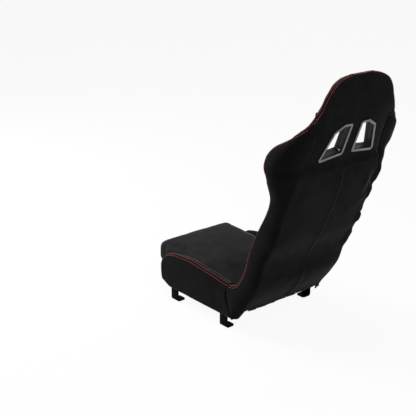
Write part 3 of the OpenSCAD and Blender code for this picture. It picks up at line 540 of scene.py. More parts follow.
def stitches(name, path, normals):
    """One mesh of separate stitches along a path that lies on cloth, dipping in at both ends."""
    s = lengths(path)
    verts, faces = [], []
    for c in range(int((s[-1] - STITCH_L) // STITCH_PITCH)):
        base = len(verts)
        for f, up, k in STITCH:
            t = c * STITCH_PITCH + f * STITCH_L
            n = unit(at_length(t, s, normals))
            d = unit(at_length(min(s[-1], t + 0.5), s, path) - at_length(max(0, t - 0.5), s, path))
            b = unit(np.cross(d, n))
            o = at_length(t, s, path) + n * (up + STITCH_LIFT)
            for a in range(6):
                w = a * math.pi / 3
                verts.append(o + k * STITCH_R * (math.cos(w) * b + math.sin(w) * n))
        for r in range(base, base + 24, 6):
            faces += [(r + a, r + (a + 1) % 6, r + 6 + (a + 1) % 6, r + 6 + a) for a in range(6)]
        faces.append(tuple(base + a for a in range(5, -1, -1)))
        faces.append(tuple(base + 24 + a for a in range(6)))
    return add_mesh(name, verts, faces, RED)


# ---- covers
SEAM_Q = 0.004      # half the slit between two covers, in skin's q


def edge_q(z):
    """Where the rear cover ends: at the side seam, and past the neck at the rim."""
    return 1 + ease(793, 836, z)


def skin_grid(zs, qs_of):
    return np.array([[(*skin(z, q), z) for q in qs_of(z)] for z in zs])


def seam_valley(g, left, right, low, high, w):
    """Depths of the seams along a grid's four edges, as heights below the cloth."""
    s, t = along(g, 1), along(g, 0)
    h = np.zeros(g.shape[:2])
    for depth, d in ((left, s), (right, s[:, -1:] - s), (low, t), (high, t[-1:, :] - t)):
        if depth:
            h -= depth * bell(d, w)
    return h


def centre_arc(g):
    """Arc distance from the seat's middle."""
    s = along(g, 1)
    mid = np.array([np.interp(0, row[:, 0], srow) for row, srow in zip(g, s)])
    return s - mid[:, None]


SHIFT = [(467, 0), (515, 2), (530, 6), (545, 12), (560, 16), (575, 14), (590, 9), (605, 2.5), (622, 0)]


def seam_shift(z):
    """How far the right-hand seam is pulled inwards where the panel hangs slack."""
    return float(table_at(z, SHIFT))


# Each bulge: its height, arc beyond the seam and width, then where it starts and ends in z
SLACK = ((6.5, 20, 15, 541, 553, 594, 622), (6.0, 8, 15, 467, 492, 518, 530),
         (2.0, 6, 12, 424, 431, 436, 450), (6.5, 6, 15, 376, 386, 409, 420),
         (7.5, 8, 20, 255, 300, 330, 352))


def slack(a, z):
    """Bulges of the slack cloth along the right-hand seam; a is the arc beyond the seam."""
    return sum(amp * bell(a - mid, width) * ease(z0, z1, z) * (1 - ease(z2, z3, z))
               for amp, mid, width, z0, z1, z2, z3 in SLACK)


def seam_deep(z):
    """The side seam is shallow low down and deeper at the shoulder."""
    return 0.35 + 0.35 * ease(650, 760, z)


def unit_steps(n, fine=5, k=0.012):
    """Numbers 0 to 1 that crowd towards both ends."""
    u = np.linspace(0, 1, n)
    ends = [k * (i / fine)**1.3 for i in range(fine)]
    return np.unique(np.concatenate([ends, u[1:-1], 1 - np.array(ends)]).round(5))


# Lower rear panel, drawn over the frame, with its centre seam and slack folds
zs = spaced(HEM_Z, HEM_TOP + 8, 7, [HEM_TOP], 20, 2.0)
half = np.array([0.004, 0.009, 0.016, 0.026, 0.04, *np.linspace(0.06, 0.88, 21),
                 0.92, 0.945, 0.965, 0.98, 0.99, 0.995])
qs = np.concatenate([-half[::-1], [0], half])
g = skin_grid(zs, lambda z: np.where(qs < 0, qs * (1 - seam_shift(z) / seam_x(z)), qs))
s, zz = centre_arc(g), g[:, :, 2]
h = seam_valley(g, 1.2, 1.2, 0, 0, 3.5) * seam_deep(zz)
wander = 1.5 * np.sin(zz / 47) + 2.2 * bell(zz - 215, 45) - 1.5 * bell(zz - 300, 40)
c = s - wander
h += -2.2 * bell(c, 1.5) + 2.2 * bell(c + 5.5, 3.6) + bell(c - 6, 4)
reach = np.abs(s[:, :1]) + np.array([seam_shift(z) for z in zs])[:, None]
h += np.where(s < 0, slack(-s - reach, zz), 0)
for f in ((-155, 566, 86, 45, 14, 5.0), (-190, 565, 84, 30, 10, -4.0), (-203, 525, 60, 26, 7, 4.0),
          (-178, 495, -38.5, 38, 8, 2.8), (-196, 424, 0, 15, 2.2, -4.5), (-198, 433, 0, 18, 6, 2.0),
          (-203, 365, 10, 16, 6, -1.6), (-120, 300, 60, 60, 18, 1.4), (110, 250, -65, 70, 20, 1.2),
          (60, 200, -80, 60, 16, 1.0), (-60, 180, 80, 60, 16, 1.1), (150, 420, -72, 90, 18, 0.9),
          (-140, 215, 50, 50, 14, 1.2), (-165, 235, 48, 40, 8, -1.0)):
    h += fold(s, zz, *f)
h += ripple(g, 60, 0.8) + ripple(g, 23, 0.35, 4)
tuck = np.array([LAYER * ease(HEM_TOP - 40, HEM_TOP - 8, z) for z in zs])
lower = thick_sheet("rear_panel_lower", raised(g, h - tuck[:, None]), COVER_T, PANEL)
stands_for("rear_cover_lower")

# Upper rear cover: from its hem over the harness slots and round the head
zs = spaced(HEM_TOP, SEAT_H, 8, [HEM_TOP, SEAT_H], 22, 1.6)
qs = np.concatenate([np.linspace(-1, -0.9, 9), np.linspace(-0.87, 0.87, 37), np.linspace(0.9, 1, 9)])
g = skin_grid(zs, lambda z: qs * (edge_q(z) - SEAM_Q))
for w in (0.35, 0.7, 1.0):                  # over the top, to the rim
    row = g[len(zs) - 1].copy()
    row[:, 1] += (rim_y(SEAT_H) - row[:, 1]) * w
    row[:, 2] = SEAT_H + 0.3 * math.sin(w * 1.6)
    g = np.concatenate([g, row[None]])
s, zz = centre_arc(g), g[:, :, 2]
h = seam_valley(g, 0.6, 0.6, 0.3, 1.0, 3.2)
hem = zz - HEM_TOP
h += 0.9 * bell(hem - 1.5, 3) - 0.5 * bell(hem - 8, 2)
for side in (1, -1):
    for f in ((176, 812, 72, 26, 4, -1.6), (167, 806, 74, 30, 5, 1.0), (160, 800, 76, 24, 4, -0.9)):
        h += fold(s * side, zz, *f)
h += ripple(g, 70, 0.6, 9)
upper_grid = raised(g, h)
# The upper cover wears the lighter copy of the knit: painted light
upper = thick_sheet("rear_cover_upper_cloth", upper_grid, COVER_T, KNIT_PAINTED_LIGHT)
stands_for("rear_cover_upper")

# Slot openings through the upper cover
SLOT_LEAN = math.atan((rear_y(SLOT_Z + 40) - rear_y(SLOT_Z - 40)) / 80)
SLOT = [(20, 14 - SLOT_H / 2), (137, -SLOT_H / 2), (100, SLOT_H / 2 - 23), (60, SLOT_H / 2),
        (20, SLOT_H / 2 - 1)]
SLOT_R = 11
SLOT_CUT = -5.9     # the cloth is cut this far from the slot's outline, under the bezel's rim


def slot_local(x, y, z, side):
    """Local slot frame to mm: x sideways, y up the face, z out of it."""
    c, sn = math.cos(SLOT_LEAN), math.sin(SLOT_LEAN)
    return (side * x, rear_y(SLOT_Z) + y * sn + z * c, SLOT_Z + y * c - z * sn)


def outline(pts, d, r, n=7):
    """The polygon pts set out by d, with its corners rounded to r + d in n steps."""
    m = len(pts)
    out, p = [], []
    for i in range(m):
        a, b, c = (np.array(pts[(i + k) % m], float) for k in (-1, 0, 1))
        u, v = unit(b - a), unit(c - b)
        ra, rb = np.array([u[1], -u[0]]), np.array([v[1], -v[0]])
        p.append(b + d * (ra + rb) / (1 + ra @ rb))
    for i in range(m):
        a, b, c = p[i - 1], p[i], p[(i + 1) % m]
        u, v = unit(b - a), unit(c - b)
        turn = math.acos(max(-1, min(1, u @ v)))
        side = unit(v - u * (u @ v))
        centre = b - u * (r + d) * math.tan(turn / 2) + side * (r + d)
        for k in range(n + 1):
            t = turn * k / n
            out.append(centre + (r + d) * (u * math.sin(t) - side * math.cos(t)))
    return out


def cut_slots(ob):
    """Cuts both harness slots through a piece of cloth or foam."""
    ring = outline(SLOT, SLOT_CUT, SLOT_R)
    k = len(ring)
    faces = [(i, (i + 1) % k, k + (i + 1) % k, k + i) for i in range(k)]
    faces += [tuple(range(k - 1, -1, -1)), tuple(range(k, 2 * k))]
    for side in (1, -1):
        verts = [slot_local(x, y, z, side) for z in (-HARNESS_DEPTH - 30, 30) for x, y in ring]
        tool = add_mesh("tool", verts, faces, SEAM_M, False)
        edit(tool.data, face_outwards)
        mod = ob.modifiers.new("slot", "BOOLEAN")
        mod.object, mod.operation, mod.solver = tool, "DIFFERENCE", "EXACT"
        apply_mods(ob)
        bpy.data.objects.remove(tool)


def swap_mesh(ob, me):
    old, ob.data = ob.data, me
    bpy.data.meshes.remove(old)


def apply_mods(ob):
    dg = bpy.context.evaluated_depsgraph_get()
    me = bpy.data.meshes.new_from_object(ob.evaluated_get(dg))
    ob.modifiers.clear()
    swap_mesh(ob, me)


cut_slots(upper)

# Side covers
BOW = [(50, 26), (79, 14), (100, 2), (128, -6), (155, -4), (172, 0), (180, 0)]


def bow(z):
    """The corner seam between side cover and base cover isn't straight: its y offset."""
    return float(table_at(z, BOW))


for side, name in SIDES:
    rows = []
    for z in spaced(BASE_Z, 834, 8, [BASE_Z, 176, 834], 16, 1.6):
        e = edge_q(z) + SEAM_Q - (seam_shift(z) / seam_x(z) if side < 0 else 0)
        row = [(u, *skin(z, e + (2 - e) * u)) for u in unit_steps(26)]
        rows.append([(x, y + bow(z) * ease(0.55, 1, u), z) for u, x, y in row])
    g = np.array(rows) if side > 0 else np.array(rows)[:, ::-1] * MIRROR
    s, zz = along(g, 1), g[:, :, 2]
    run = s[:, -1:]
    s = s if side > 0 else run - s          # from the seam to the rim
    h = -1.3 * seam_deep(zz) * bell(s, 3.2) - 0.5 * bell(run - s, 3.2)
    if side < 0:
        h += slack(s - np.array([seam_shift(z) for z in zz[:, 0]])[:, None], zz)
    for f in ((18, 300, 80, 60, 14, 0.9), (30, 240, 70, 60, 14, -0.8), (60, 180, 60, 50, 14, 0.8),
              (35, 640, 80, 80, 20, 0.8), (14, 700, 84, 60, 8, -0.7)):
        h += fold(s, zz, *f)
    h += ripple(g, 60, 0.7, side * 5)
    ob = thick_sheet("side_cover_cloth_" + name, raised(g, h), COVER_T, KNIT)
    stands_for("side_cover_" + name)


# Base covers: flank, rounded front corner and front
def base_profile_point(v, y, side):
    """How far the flank stands out at share v of its height, and that height."""
    low, high = base_bottom(y), ridge_z(y, side)
    return curve(v, FLANK), low + (high - low) * v


vs = np.array([0, 0.02, 0.05, 0.1, 0.16, 0.24, 0.33, 0.42, 0.51, 0.6, 0.68, 0.75, 0.81, 0.86, 0.9,
               0.93, 0.955, 0.975, 0.99, 1.0])
for side, name in SIDES:
    ys = spaced(-CORNER_START, CORNER_Y - GAP, 9, [CORNER_Y - GAP], 12, 2)
    cols = [(FLANK_X, y, 1, 0, y) for y in ys[::-1]]
    for a in np.radians(np.linspace(6, 90, 12)):
        nx, ny = math.cos(a), -math.sin(a)
        out = CORNER_R + 3.0 * math.sin(2 * a)
        py = -CORNER_START + out * ny
        cols.append((FLANK_X - CORNER_R + out * nx, py, nx, ny, max(py, -BASE_FRONT)))
    g = np.array([[(px + nx * d, py + ny * d, z) for px, py, nx, ny, y in cols
                   for d, z in [base_profile_point(v, y, side)]] for v in vs])
    for row in g:
        for p in row:
            p[1] += bow(p[2]) * ease(95, CORNER_Y, p[1])
    if side < 0:
        g = g[:, ::-1] * MIRROR
    h = seam_valley(g, 0.5 if side > 0 else 0.3, 0.3 if side > 0 else 0.5, 0, 1.0, 3.0)
    h += ripple(g, 70, 1.0, side * 2.5)
    ob = thick_sheet("base_cover_cloth_" + name, raised(g, h), COVER_T, KNIT)
    stands_for("base_cover_" + name)

half = FLANK_X - CORNER_R - GAP
low, high = base_bottom(-BASE_FRONT), BASE_TOP - 18
g = np.array([[(x, -BASE_FRONT - 4 * v**3 + 2 * (1 - v) - 0.3, low + (high - low) * v)
               for x in np.linspace(half, -half, 60)] for v in np.linspace(0, 1, 10)])
ob = thick_sheet("base_cover_cloth_front", raised(g, ripple(g, 50, 0.8, 1)), COVER_T, KNIT)
stands_for("base_cover_front")


# Tape behind the seam between side cover and base cover
for side, name in SIDES:
    g = np.array([[(side * (FLANK_X - 3.2), CORNER_Y + bow(z) + o, z)
                   for o in np.linspace(9, -9, 7)[::side]] for z in np.linspace(BASE_Z + 3, 168, 30)])
    thick_sheet("corner_tape_" + name, g, 1.0, SEAM_M)


# ---- pads
# Neck and head: height, how steeply the folded cloth runs inwards, and the free width at the rim
FOLD_BACK = [(780, 1.75, 15), (820, 1.58, 15), (861, 1.34, 14.5), (880, 1.32, 14), (900, 1.26, 10),
             (920, 1.35, 11), (940, 1.38, 17), (960, 1.64, 20)]


def behind_rim(front, z, x, y, inner, spare=0.0):
    """Keeps the cloth of neck and head folded back behind the rim's seam at (x, y)."""
    slope, free = table_at(z, FOLD_BACK, 1), table_at(z, FOLD_BACK, 2)
    free += 60 * (1 - ease(770, 795, z)) - spare
    out = np.array(front, float)
    limit = x - np.maximum(0, slope * (y - out[:, 1]) - free)
    deepest = y - (free + x - inner) / slope
    out[:, 1] = np.where((limit < inner) & (out[:, 0] >= inner), np.maximum(out[:, 1], deepest), out[:, 1])
    out[:, 0] = np.minimum(out[:, 0], np.maximum(limit, inner))
    return out


def under_skin(pts):
    """Points of the skin, set in by the cover's thickness."""
    out = []
    for i, p in enumerate(pts):
        v = unit(np.subtract(pts[min(i + 1, len(pts) - 1)], pts[max(i - 1, 0)]))
        out.append((p[0] + (LAYER + 0.2) * v[1], p[1] - (LAYER + 0.2) * v[0]))
    return out


def whole_ring(half):
    """A ring from its left half, whose first and last points lie in the middle."""
    half = [tuple(p) for p in half]
    return half + [(-a, c) for a, c in half[-2:0:-1]]


FRONT_AT = 9                    # where the front cloth starts in a wing's ring
HEAD_FRONT = slice(10, 54)      # the left half of the front cloth in a ring of the head


def wing_ring(z):
    """Outline of the left wing pad at height z: 2 points at the back, 7 under the skin, 40 in front."""
    r, b, e = rear_y(z), BACK_AT + 2.5, rim_depth(z)
    f = max(face_depth(z), b + 8)
    d = min(max(e + 5, face_depth(z), BACK_AT + 12), r - CORNER_Y - 2)
    x, inner = rim_x(z), PAD_W / 2 + GAP
    lo, hi = 0.0, 1.0
    for _ in range(12):
        mid = (lo + hi) / 2
        if r - side_point(z, mid)[1] > b:
            hi = mid
        else:
            lo = mid
    u0 = min(1 if z < height(0.79) else 0.75, lo)
    skin_in = under_skin([side_point(z, u) for u in np.linspace(u0, 0.97, 7)])
    nose = d - e
    tp = min(0.5 * max(0, nose - 6), x - inner - 21)
    front = spline([(x - 0.3, r - e - 0.4), (x - 0.2 - tp * 0.25, r - e - nose * 0.42),
                    (x - 6 - tp, r - e - nose * 0.88), (x - 17 - tp, r - d - 0.8),
                    ((x - 17 - tp + inner) / 2, r - (d + f) / 2 - 0.5), (inner + 9, r - f - 0.6),
                    (inner + 2, r - f + 2.2), (inner + 0.2, r - f + 8)], 40)
    front = behind_rim(front, z, x, r - e, inner + 1)
    back = behind_rim([(inner, r - b), (skin_in[0][0] - 2, r - b)], z, x, r - e, inner, 8)
    return [(*p, z) for p in (*back, *skin_in, *front)]


for side, name in SIDES:
    zs = spaced(BASE_TOP + 3, HEAD_SPLIT - 0.6, 9, [176, HEAD_SPLIT], 20, 2.2)
    rings = np.array([wing_ring(z) for z in zs])
    front = rings[:, FRONT_AT:].copy()
    h = ripple(front, 60, 0.8, 3) - bell(along(front, 1), 2.6)
    h[:, -3:] = 0
    rings[:, FRONT_AT:] = raised(front, h)
    if side < 0:
        rings = rings * MIRROR
    ob = loft_mesh("wing_pad_cloth_" + name, rings, KNIT)
    stands_for("wing_pad_" + name)


def leg_x(z):
    """Where the hoop's leg stands."""
    return table_at(share(z), ((0.25, 170), (0.62, 170), (0.685, 168), (0.86, 164), (0.945, 109)))


def head_ring(z):
    """Outline of the head pad at height z; its front cloth has 44 points a side."""
    r, f, e, x = rear_y(z), face_depth(z), rim_depth(z), rim_x(z)
    over = ease(height(0.945) + 13, height(0.945) + 18, z)
    b = (HOOP_INSET + 12.5 * SHEAR + 2) * (1 - over) + (LAYER + 1.5) * over
    skin_in = under_skin([side_point(z, u) for u in np.linspace(0.35, 0.97, 6)])
    fx = min(leg_x(z) + 15.5, skin_in[0][0] - 4)
    d = f - e
    k = d / 37
    fx = behind_rim([(fx, r - b)], z, x, r - e, x * 0.5, 8)[0][0]
    half = [(0, r - b), (fx * 0.5, r - b), (fx * 0.8, r - b), (fx, r - b)] + skin_in
    front = spline([(x - 0.3, r - e - 0.4), (x + 1.2 * k, r - e - d * 0.12),
                    (x - 2.2 * k, r - e - d * 0.32), (x - 10 * k, r - e - d * 0.58),
                    (x - 18 * k, r - e - d * 0.79), (x - 32 * k, r - f + d * 0.03),
                    (x * 0.5, r - f - 1.5), (0, r - f - 2.2)], 44)
    front[:30] = behind_rim(front[:30], z, x, r - e, x * 0.55)
    return [(a, c, z) for a, c in whole_ring([*half, *front])]


HEAD_TOP = 972.3
zs = spaced(HEAD_SPLIT + 0.6, HEAD_TOP, 6, [HEAD_SPLIT, HEAD_TOP], 14, 2.0)
head_rings = np.array([head_ring(z) for z in zs])
last, yr = head_rings[-1], rim_y(SEAT_H)
crown = [np.stack([last[:, 0] * (1 - 0.02 * (1 - k)), yr + (last[:, 1] - yr) * k, last[:, 2] + dz], 1)
         for k, dz in ((0.8, 1.0), (0.45, 1.5), (0.1, 1.7))]
# The head pad wears the lighter copy of the knit: painted light
head = loft_mesh("head_pad_cloth", np.concatenate([head_rings, crown]), KNIT_PAINTED_LIGHT)
stands_for("head_pad")


def block_ring(z, crown, x):
    """Outline of a centre pad at height z, x wide each side, its front crowned by crown."""
    r, f = rear_y(z), face_depth(z)
    clear = ease(CLEAR_LOW + 1, CLEAR_LOW + 11, z) * (1 - ease(CLEAR_HIGH - 12, CLEAR_HIGH - 2, z))
    b = BACK_AT + (LAYER + 1 - BACK_AT) * clear
    d = f - b
    yb = min(r - b, r - drop(z) * min(1, x / seam_x(z))**4 - LAYER - 1)
    half = [(0, yb), (x * 0.5, yb), (x - 20, yb), (x - 3, yb), (x, yb - min(3, d * 0.2))]
    front = spline([(x - 0.2, yb - d * 0.25), (x - 1.0, r - b - d * 0.5), (x - 0.6, r - b - d * 0.78),
                    (x - 5, r - f + d * 0.04), (x - 15, r - f - crown * 0.3),
                    (x * 0.6, r - f - crown * 0.85), (x * 0.3, r - f - crown), (0, r - f - crown)], 44)
    if z > 800:
        front = behind_rim(front, z, rim_x(z), rim_y(z), 95)
    return [(a, c, z) for a, c in whole_ring([*half, *front])]


PRESSURE, SIM_FRAMES = 4.0, 20


def inflate(ob, voxel, cap, keep):
    """Swells a closed pad with Blender's Cloth, by cap metres at most; keep(p), from 0 to 1, says
    how much of that a point may move."""
    work = placed("work", ob.data.copy())
    rm = work.modifiers.new("r", "REMESH")
    rm.mode, rm.voxel_size = "VOXEL", voxel
    apply_mods(work)
    before = np.array([v.co for v in work.data.vertices])
    cl = work.modifiers.new("c", "CLOTH")
    st = cl.settings
    st.quality, st.use_pressure, st.uniform_pressure_force = 6, True, PRESSURE
    st.tension_stiffness = st.compression_stiffness = 12
    st.shear_stiffness, st.bending_stiffness = 6, 0.6
    st.effector_weights.gravity = 0
    cl.collision_settings.use_collision = False
    cl.point_cache.frame_start, cl.point_cache.frame_end = 1, SIM_FRAMES
    for f in range(1, SIM_FRAMES + 1):
        scene.frame_set(f)
    ev = work.evaluated_get(bpy.context.evaluated_depsgraph_get())
    d = np.array([v.co for v in ev.data.vertices]) - before
    work.modifiers.clear()
    scene.frame_set(1)
    d *= np.minimum(1, cap / np.maximum(np.linalg.norm(d, axis=1, keepdims=True), 1e-9))
    d *= np.array([keep(p * 1000) for p in before])[:, None]
    for v, q in zip(work.data.vertices, before + d):
        v.co = q
    smooth(work.data)
    swap_mesh(ob, work.data)
    bpy.data.objects.remove(work)


z0, z1 = BASE_TOP + GAP, PAD_SPLIT - GAP
rings = []
for z in spaced(z0, z1, 9, [z0, z1], 14, 3):
    end = min(z - z0, z1 - z)
    rings.append(block_ring(z, 5 * min(1, end / 25), PAD_W / 2 - GAP - 4 * max(0, 1 - end / 6)))
back = loft_mesh("back_pad_cloth", rings, SUEDE)
stands_for("back_pad")

zs = spaced(PAD_SPLIT, HEAD_SPLIT - 1, 6, [PAD_SPLIT, CLEAR_LOW + 4, CLEAR_HIGH - 4], 14, 3)
shoulder = loft_mesh("shoulder_pad_cloth", [block_ring(z, 0, PAD_W / 2 - GAP) for z in zs], SUEDE)
cut_slots(shoulder)
stands_for("shoulder_pad")


# Seat cushion
CUSH_TOP = [(-1, 1), (-0.9, 1), (-0.6, 0.97), (-0.3, 0.9), (0, 0.78), (0.3, 0.62), (0.6, 0.42),
            (0.85, 0.28), (1, 0.25)]
NOSE = [(0, 0.54), (0.05, 0.79), (0.17, 0.945), (0.4, 1)]
CUSH_BACK = CORNER_Y - 6


def cushion_ring(y):
    """Outline of the cushion across the seat at y."""
    w, ahead = CUSHION_W / 2, -BASE_FRONT - 3 - y
    run = y / CUSHION_FRONT if y < 0 else y / CUSH_BACK
    near, tail = (y + CUSHION_FRONT) / (CUSHION_FRONT - BASE_FRONT), (CUSH_BACK - y) / 24
    full = curve(near, NOSE) if near < 0.9 else 1
    top_z = BASE_TOP + (CUSHION_Z - BASE_TOP) * curve(run, CUSH_TOP)
    mid = BASE_TOP + 24
    bottom_z = BASE_TOP - 14 * ease(0, 6, ahead) if ahead > 0 else BASE_TOP + GAP
    top, bottom = mid + (top_z - mid) * full, mid + (bottom_z - mid) * full
    if tail < 1:
        top = BASE_TOP + 6 + (top - BASE_TOP - 6) * math.sqrt(max(0.04, 1 - (1 - tail)**2))
    w -= 3 * (1 - full)
    hgt = top - bottom
    r, cr = min(15, hgt * 0.32), min(7, hgt * 0.12)
    half = spline([(0, top), (w * 0.4, top - cr * 0.15), (w * 0.75, top - cr * 0.6),
                   (w - r * 1.1, top - cr), (w - r * 0.35, top - cr - r * 0.35), (w, top - cr - r * 1.2),
                   (w - 2, (top + bottom) / 2), (w - 0.5, bottom + r), (w - r * 0.4, bottom + r * 0.3),
                   (w - r * 1.3, bottom), (0, bottom)], 48)
    return [(a, y, c) for a, c in whole_ring(half)]


ys = spaced(-CUSHION_FRONT + 0.6, CUSH_BACK, 8, [-CUSHION_FRONT, CUSH_BACK, -BASE_FRONT - 3], 16, 1.6)
cushion = loft_mesh("seat_cushion_cloth", [cushion_ring(y) for y in ys], SUEDE)
stands_for("seat_cushion")


def cushion_free(p):
    top = ease(BASE_TOP + 12, BASE_TOP + 40, p[2])
    lip = ease(-BASE_FRONT - 8, -BASE_FRONT - 20, p[1])
    side = 1 - ease(CUSHION_W / 2 - 12, CUSHION_W / 2 - 2, abs(p[0])) * (1 - lip)
    return max(top, lip) * side


def back_free(p):
    return ease(0, 14, rear_y(p[2]) - p[1] - BACK_AT - 6) * (1 - ease(136, 148, abs(p[0])))


def shoulder_free(p):
    free = ease(0, 10, rear_y(p[2]) - p[1] - 26) * (1 - ease(136, 148, abs(p[0])))
    return free * (1 - recess(p[2]))


inflate(cushion, 0.005, 0.0035, cushion_free)
inflate(back, 0.005, 0.005, back_free)
inflate(shoulder, 0.004, 0.002, shoulder_free)


# Thigh bolsters
def flank_at(y, d):
    """Where a surface d inside the base's flank lies, round the front corner too."""
    return FLANK_X - CORNER_R + math.sqrt(max(1, (CORNER_R - d)**2 - max(0, -y - CORNER_START)**2))


for side, name in SIDES:
    inner = CUSHION_W / 2 + 2 * GAP
    rings = []
    for y in spaced(-CORNER_START - 0.75 * CORNER_R, CORNER_Y - 5, 8, [-CORNER_START - 20], 24, 3):
        top, lowz, x = ridge_z(y, side), BASE_FOAM_Z, flank_at(y, LAYER)
        hgt = top - lowz
        half = spline([(inner, lowz + 2), (inner, lowz + hgt * 0.5), (inner, top - 14),
                       (inner + 8, top - 5.4), (x - 20, top - 1.5), (x - 9, top - 0.6),
                       (x - 4.5, top - 0.07 * hgt), (x - 1, top - 0.18 * hgt),
                       (x + 0.5, top - 0.45 * hgt), (x, lowz)], 44)
        rings.append([(side * a, y, c) for a, c in half])
    ob = loft_mesh("base_bolster_cloth_" + name, rings, KNIT)
    stands_for("base_bolster_" + name)


# ---- frame, foam, webbing, fittings
def dressed(node_name, name, mat, bevel, segments):
    """A copy of a CAD node with its edges rounded, which stands for the node."""
    me = frame["nodes"][node_name].data.copy()
    me.name = name
    ob = placed(name, me)
    me.materials.clear()
    me.materials.append(mat)
    edit(me, merge_facets)
    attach(ob, "root")
    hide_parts(node_name)
    mod = ob.modifiers.new("b", "BEVEL")
    mod.width, mod.segments, mod.limit_method = bevel, segments, "ANGLE"
    mod.angle_limit = math.radians(35)
    smooth(me)
    apply_mods(ob)
    ob.data.set_sharp_from_angle(angle=math.radians(40))
    return ob


def sleeve_walls(ob):
    """The walls that run through the slot get a dark copy of the moulding: painted shade inside the slot."""
    ob.data.materials.append(SLEEVE_PAINTED_SHADE)
    axis = Vector((0, math.cos(SLOT_LEAN), -math.sin(SLOT_LEAN)))
    for p in ob.data.polygons:
        if abs(p.normal.dot(axis)) < 0.3:
            p.material_index = 1
    return ob


for _, side in SIDES:
    for end in ("rear", "front"):
        bezel = dressed("%s_bezel_%s" % (end, side), "%s_bezel_moulding_%s" % (end, side),
                        RIM_PLASTIC, 0.0009, 3)
        sleeve_walls(bezel)
    for end in ("front", "rear"):
        bracket = "bracket_%s_%s" % (end, side)
        dressed(bracket, bracket + "_coated", POWDER, 0.0007, 2)
dressed("hem_clips", "hem_strips", CLIP, 0.0005, 2)
foam = dressed("base_foam", "base_foam_block", FOAM, 0.003, 3)
for name in ("seat_webbing", "back_webbing"):
    dressed(name, name + "_straps", WEB, 0.0005, 1)

for mat, names in ((FRAME, ("main_hoop", "front_cross_tube", "rear_cross_tube", "hem_tube",
                            "lumbar_cross_tube", "lower_harness_tube", "upper_harness_tube",
                            "wing_rod_left", "wing_rod_right", "mount_plates")),
                   (ZINC, ("weld_nuts", "bezel_screws", "seat_bolts", "bolt_washers"))):
    for name in names:
        for slot in frame["nodes"][name].material_slots:
            slot.material = mat


# Lower hem: short strips that clip the panel's edge round the frame, with gaps between them.
# Each strip: its two ends in x and its foot in z; each row: its share of the height, its depth.
HEM = [(-186, -163, 76), (-163, -129, 85), (-125, -55, 85.5), (-51, -5, 84.5), (-1, 52, 86),
       (56, 143, 84.5), (147, 184, 84)]
HEM_ROWS = ((0, 4.2), (0.06, 2.0), (0.2, 0.6), (0.45, 0.0), (0.7, 0.1), (0.86, 1.7), (1, 2.0))
for i, (xa, xb, foot) in enumerate(HEM):
    rows = []
    for f, depth in HEM_ROWS:
        row = []
        for x in np.linspace(xa, xb, max(4, int((xb - xa) / 5))):
            z = foot + 0.7 * math.sin(x / 9.0 + i) * (1 - f) + (100 - foot) * f
            zc = max(z, HEM_Z + 1)
            row.append((x, rear_y(zc) - drop(zc) * min(1, abs(x) / seam_x(zc))**4 - depth, z))
        rows.append(row)
    thick_sheet("hem_roll_%d" % i, np.array(rows), 1.6, CLIP)


# ---- red stitching
def snap(path, normals, obs):
    """Moves a path onto the nearest cloth, with that cloth's normals turned to the given side."""
    verts, polys = [], []
    for ob in obs:
        o = len(verts)
        verts += [tuple(v.co * 1000) for v in ob.data.vertices]
        polys += [tuple(o + k for k in p.vertices) for p in ob.data.polygons]
    tree = BVHTree.FromPolygons(verts, polys)
    pts, nor = [], []
    for p, n in zip(path, normals):
        hit, m = tree.find_nearest(Vector(p))[:2]
        m = m if m.dot(Vector(n)) > 0 else -m
        pts.append(np.array(hit))
        nor.append(np.array(m) * 0.5 + np.array(n) / np.linalg.norm(n) * 0.5)
    return np.array(pts), np.array(nor)


def smoothed(p, sigma):
    """Evenly resampled at 1.5 mm and smoothed over sigma millimetres, ends kept."""
    p = np.asarray(p, float)
    s = lengths(p[:, :3])
    p = at_length(np.linspace(0, s[-1], int(s[-1] / 1.5) + 2), s, p)
    w = np.exp(-(np.arange(-40, 41) * 1.5 / sigma)**2 / 2)
    w /= w.sum()
    ext = np.concatenate([2 * p[0] - p[40:0:-1], p, 2 * p[-1] - p[-2:-42:-1]])
    return np.stack([np.convolve(ext[:, i], w, "valid") for i in range(p.shape[1])], 1)


def smoothed_normals(n, p):
    """Normals spread over the points that smoothed(p, ...) makes."""
    m = smoothed(np.concatenate([np.asarray(p, float), 60 * np.asarray(n, float)], 1), 3)[:, 3:]
    return units(m)


def row_on_grid(g, dist, edge):
    """Path at dist from a grid's first or last column or its top row, with the grid's normals."""
    n, s = grid_normals(g), along(g, 0 if edge == "top" else 1)
    if edge == "top":
        g, n, s = g.swapaxes(0, 1), n.swapaxes(0, 1), s.T
    path, nor = [], []
    for p, m, d in zip(g, n, s):
        d = d if edge == "first" else d[-1] - d
        order = np.argsort(d)
        path.append(at_length(dist, d[order], p[order]))
        nor.append(at_length(dist, d[order], m[order]))
    return np.array(path), np.array(nor)


INSET = 4.6         # from a seam to its row of stitches

# The head's outer row: on the rear cover, up one side, over the top and down the other
first = int(np.argmax(upper_grid[:, 0, 2] > 824))
flank = upper_grid[first:-3]
left_p, left_n = row_on_grid(flank, INSET, "first")
top_p, top_n = row_on_grid(upper_grid, INSET, "top")
right_p, right_n = row_on_grid(flank, INSET, "last")
up, over = left_p[:, 2] < SEAT_H - 3, np.abs(top_p[:, 0]) < 46
stitches("head_stitches_outer", np.concatenate([left_p[up], top_p[over], right_p[up][::-1]]),
         np.concatenate([left_n[up], top_n[over], right_n[up][::-1]]))


def across(z, a):
    """Point at height z and arc a from the wing's rim seam, with its normal: a is positive on the
    side cover and negative on the front cloth."""
    if a >= 0:
        pts = np.array([(*side_point(z, u), z) for u in np.linspace(1, 0.6, 14)])
    else:
        pts = np.array(wing_ring(z)[FRONT_AT:30])
    s = lengths(pts)
    p, q = at_length(abs(a), s, pts), at_length(abs(a) + 1, s, pts)
    t = (q - p) if a < 0 else (p - q)
    n = unit(np.array([-t[1], t[0], 0.0]))
    inward = n[0] < 0 if a >= 0 else n[1] > 0
    return p, -n if inward else n


